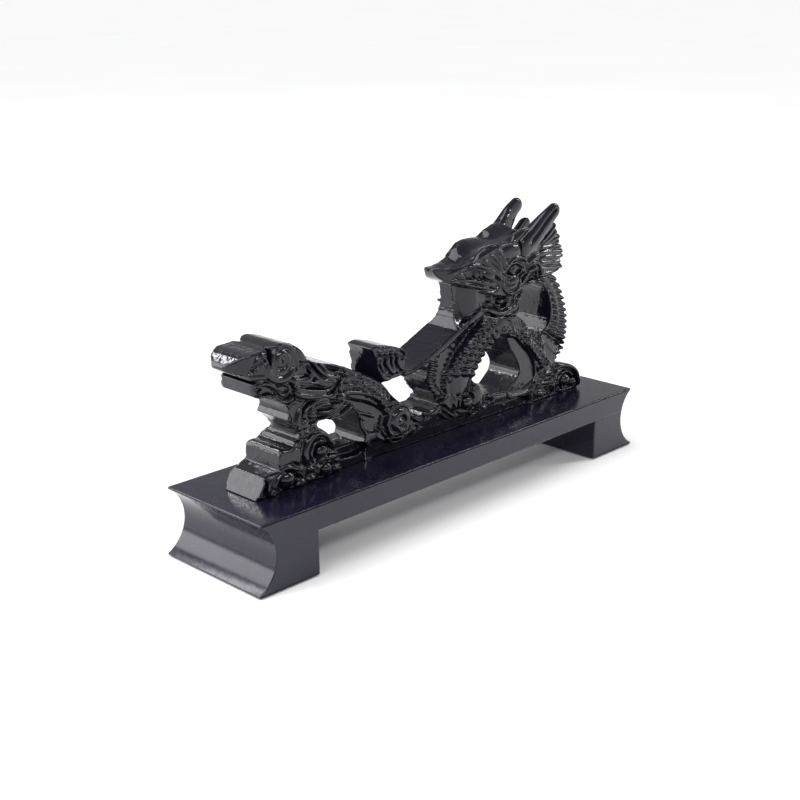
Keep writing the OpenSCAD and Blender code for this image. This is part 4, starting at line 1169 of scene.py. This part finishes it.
hand_in(link("bench_board_solid", board()), bench_black, "bench_lacquer", "bench_board")
hand_in(link("left_foot_solid", foot(-1)), bench_black, "bench_lacquer", "left_foot")
hand_in(link("right_foot_solid", foot(1)), bench_black, "bench_lacquer", "right_foot")
for name, material in (("foot_dowels", beech), ("foot_pads", black_felt), ("carving_screws", brass)):
    nodes[name].data.materials.clear()
    nodes[name].data.materials.append(material)

# ---- Studio ----------------------------------------------------------------------------


FLOOR_HALF = 18
FLOOR_WHITE = 0.88
# heights between which the white of the sweep turns to the grey overhead, from 0 to 1
SWEEP_TOP = 0.1
SKY_START = 0.3
SUN_POWER = 2.5
SUN_ANGLE = 55
SUN_TILT = (-8, -22)
# name, place, what it aims at, size and power
LAMPS = (("left_back", (-0.95, 0.75, 0.5), (0, 0, 0.05), (1.3, 0.7), 13),
         ("front_strip", (-0.25, -0.75, 0.75), (0, 0, 0.08), (0.7, 0.05), 3),
         ("right_strip", (0.75, -0.4, 0.65), (0, 0, 0.08), (0.05, 0.7), 3.4),
         ("back_strip", (-0.25, 0.75, 0.75), (0, 0, 0.08), (0.6, 0.05), 1.8))


def floor():
    """A wide white floor."""
    mesh = bpy.data.meshes.new("floor")
    r = FLOOR_HALF
    mesh.from_pydata([(-r, -r, 0), (r, -r, 0), (r, r, 0), (-r, r, 0)], [], [(0, 1, 2, 3)])
    piece = link("floor", mesh)
    material, tree, shader = new_material("floor_white")
    white = ramp(tree, noise(tree, 3), 0.3, 0.7, (FLOOR_WHITE,) * 3, (FLOOR_WHITE * 0.98,) * 3)
    tree.links.new(white, shader.inputs["Base Color"])
    shader.inputs["Roughness"].default_value = 0.9
    mesh.materials.append(material)


def studio_sky():
    """White near the horizon, like a paper sweep, and darker overhead."""
    world = bpy.data.worlds.new("studio")
    bpy.context.scene.world = world
    world.use_nodes = True
    tree = world.node_tree
    split = tree.nodes.new("ShaderNodeSeparateXYZ")
    tree.links.new(tree.nodes.new("ShaderNodeTexCoord").outputs["Generated"], split.inputs[0])
    colour = ramp(tree, split.outputs["Z"], SWEEP_TOP, SKY_START, (1, 1, 1), (0.36, 0.36, 0.37))
    tree.links.new(colour, tree.nodes["Background"].inputs["Color"])


def area_light(name, place, aim, size, power):
    """A rectangular lamp that the camera doesn't see."""
    data = bpy.data.lights.new(name, "AREA")
    data.shape = "RECTANGLE"
    data.size, data.size_y = size
    data.energy = power
    lamp = link(name, data)
    lamp.location = place
    lamp.visible_camera = False
    lamp.rotation_mode = "QUATERNION"
    lamp.rotation_quaternion = (Vector(aim) - Vector(place)).to_track_quat("-Z", "Y")


def overhead_light():
    """A broad soft light from above, a little from the left."""
    data = bpy.data.lights.new("overhead", "SUN")
    data.energy = SUN_POWER
    data.angle = math.radians(SUN_ANGLE)
    lamp = link("overhead", data)
    lamp.rotation_euler = (math.radians(SUN_TILT[0]), math.radians(SUN_TILT[1]), 0)


floor()
studio_sky()
bpy.context.scene.view_settings.view_transform = "Standard"
for lamp in LAMPS:
    area_light(*lamp)
overhead_light()
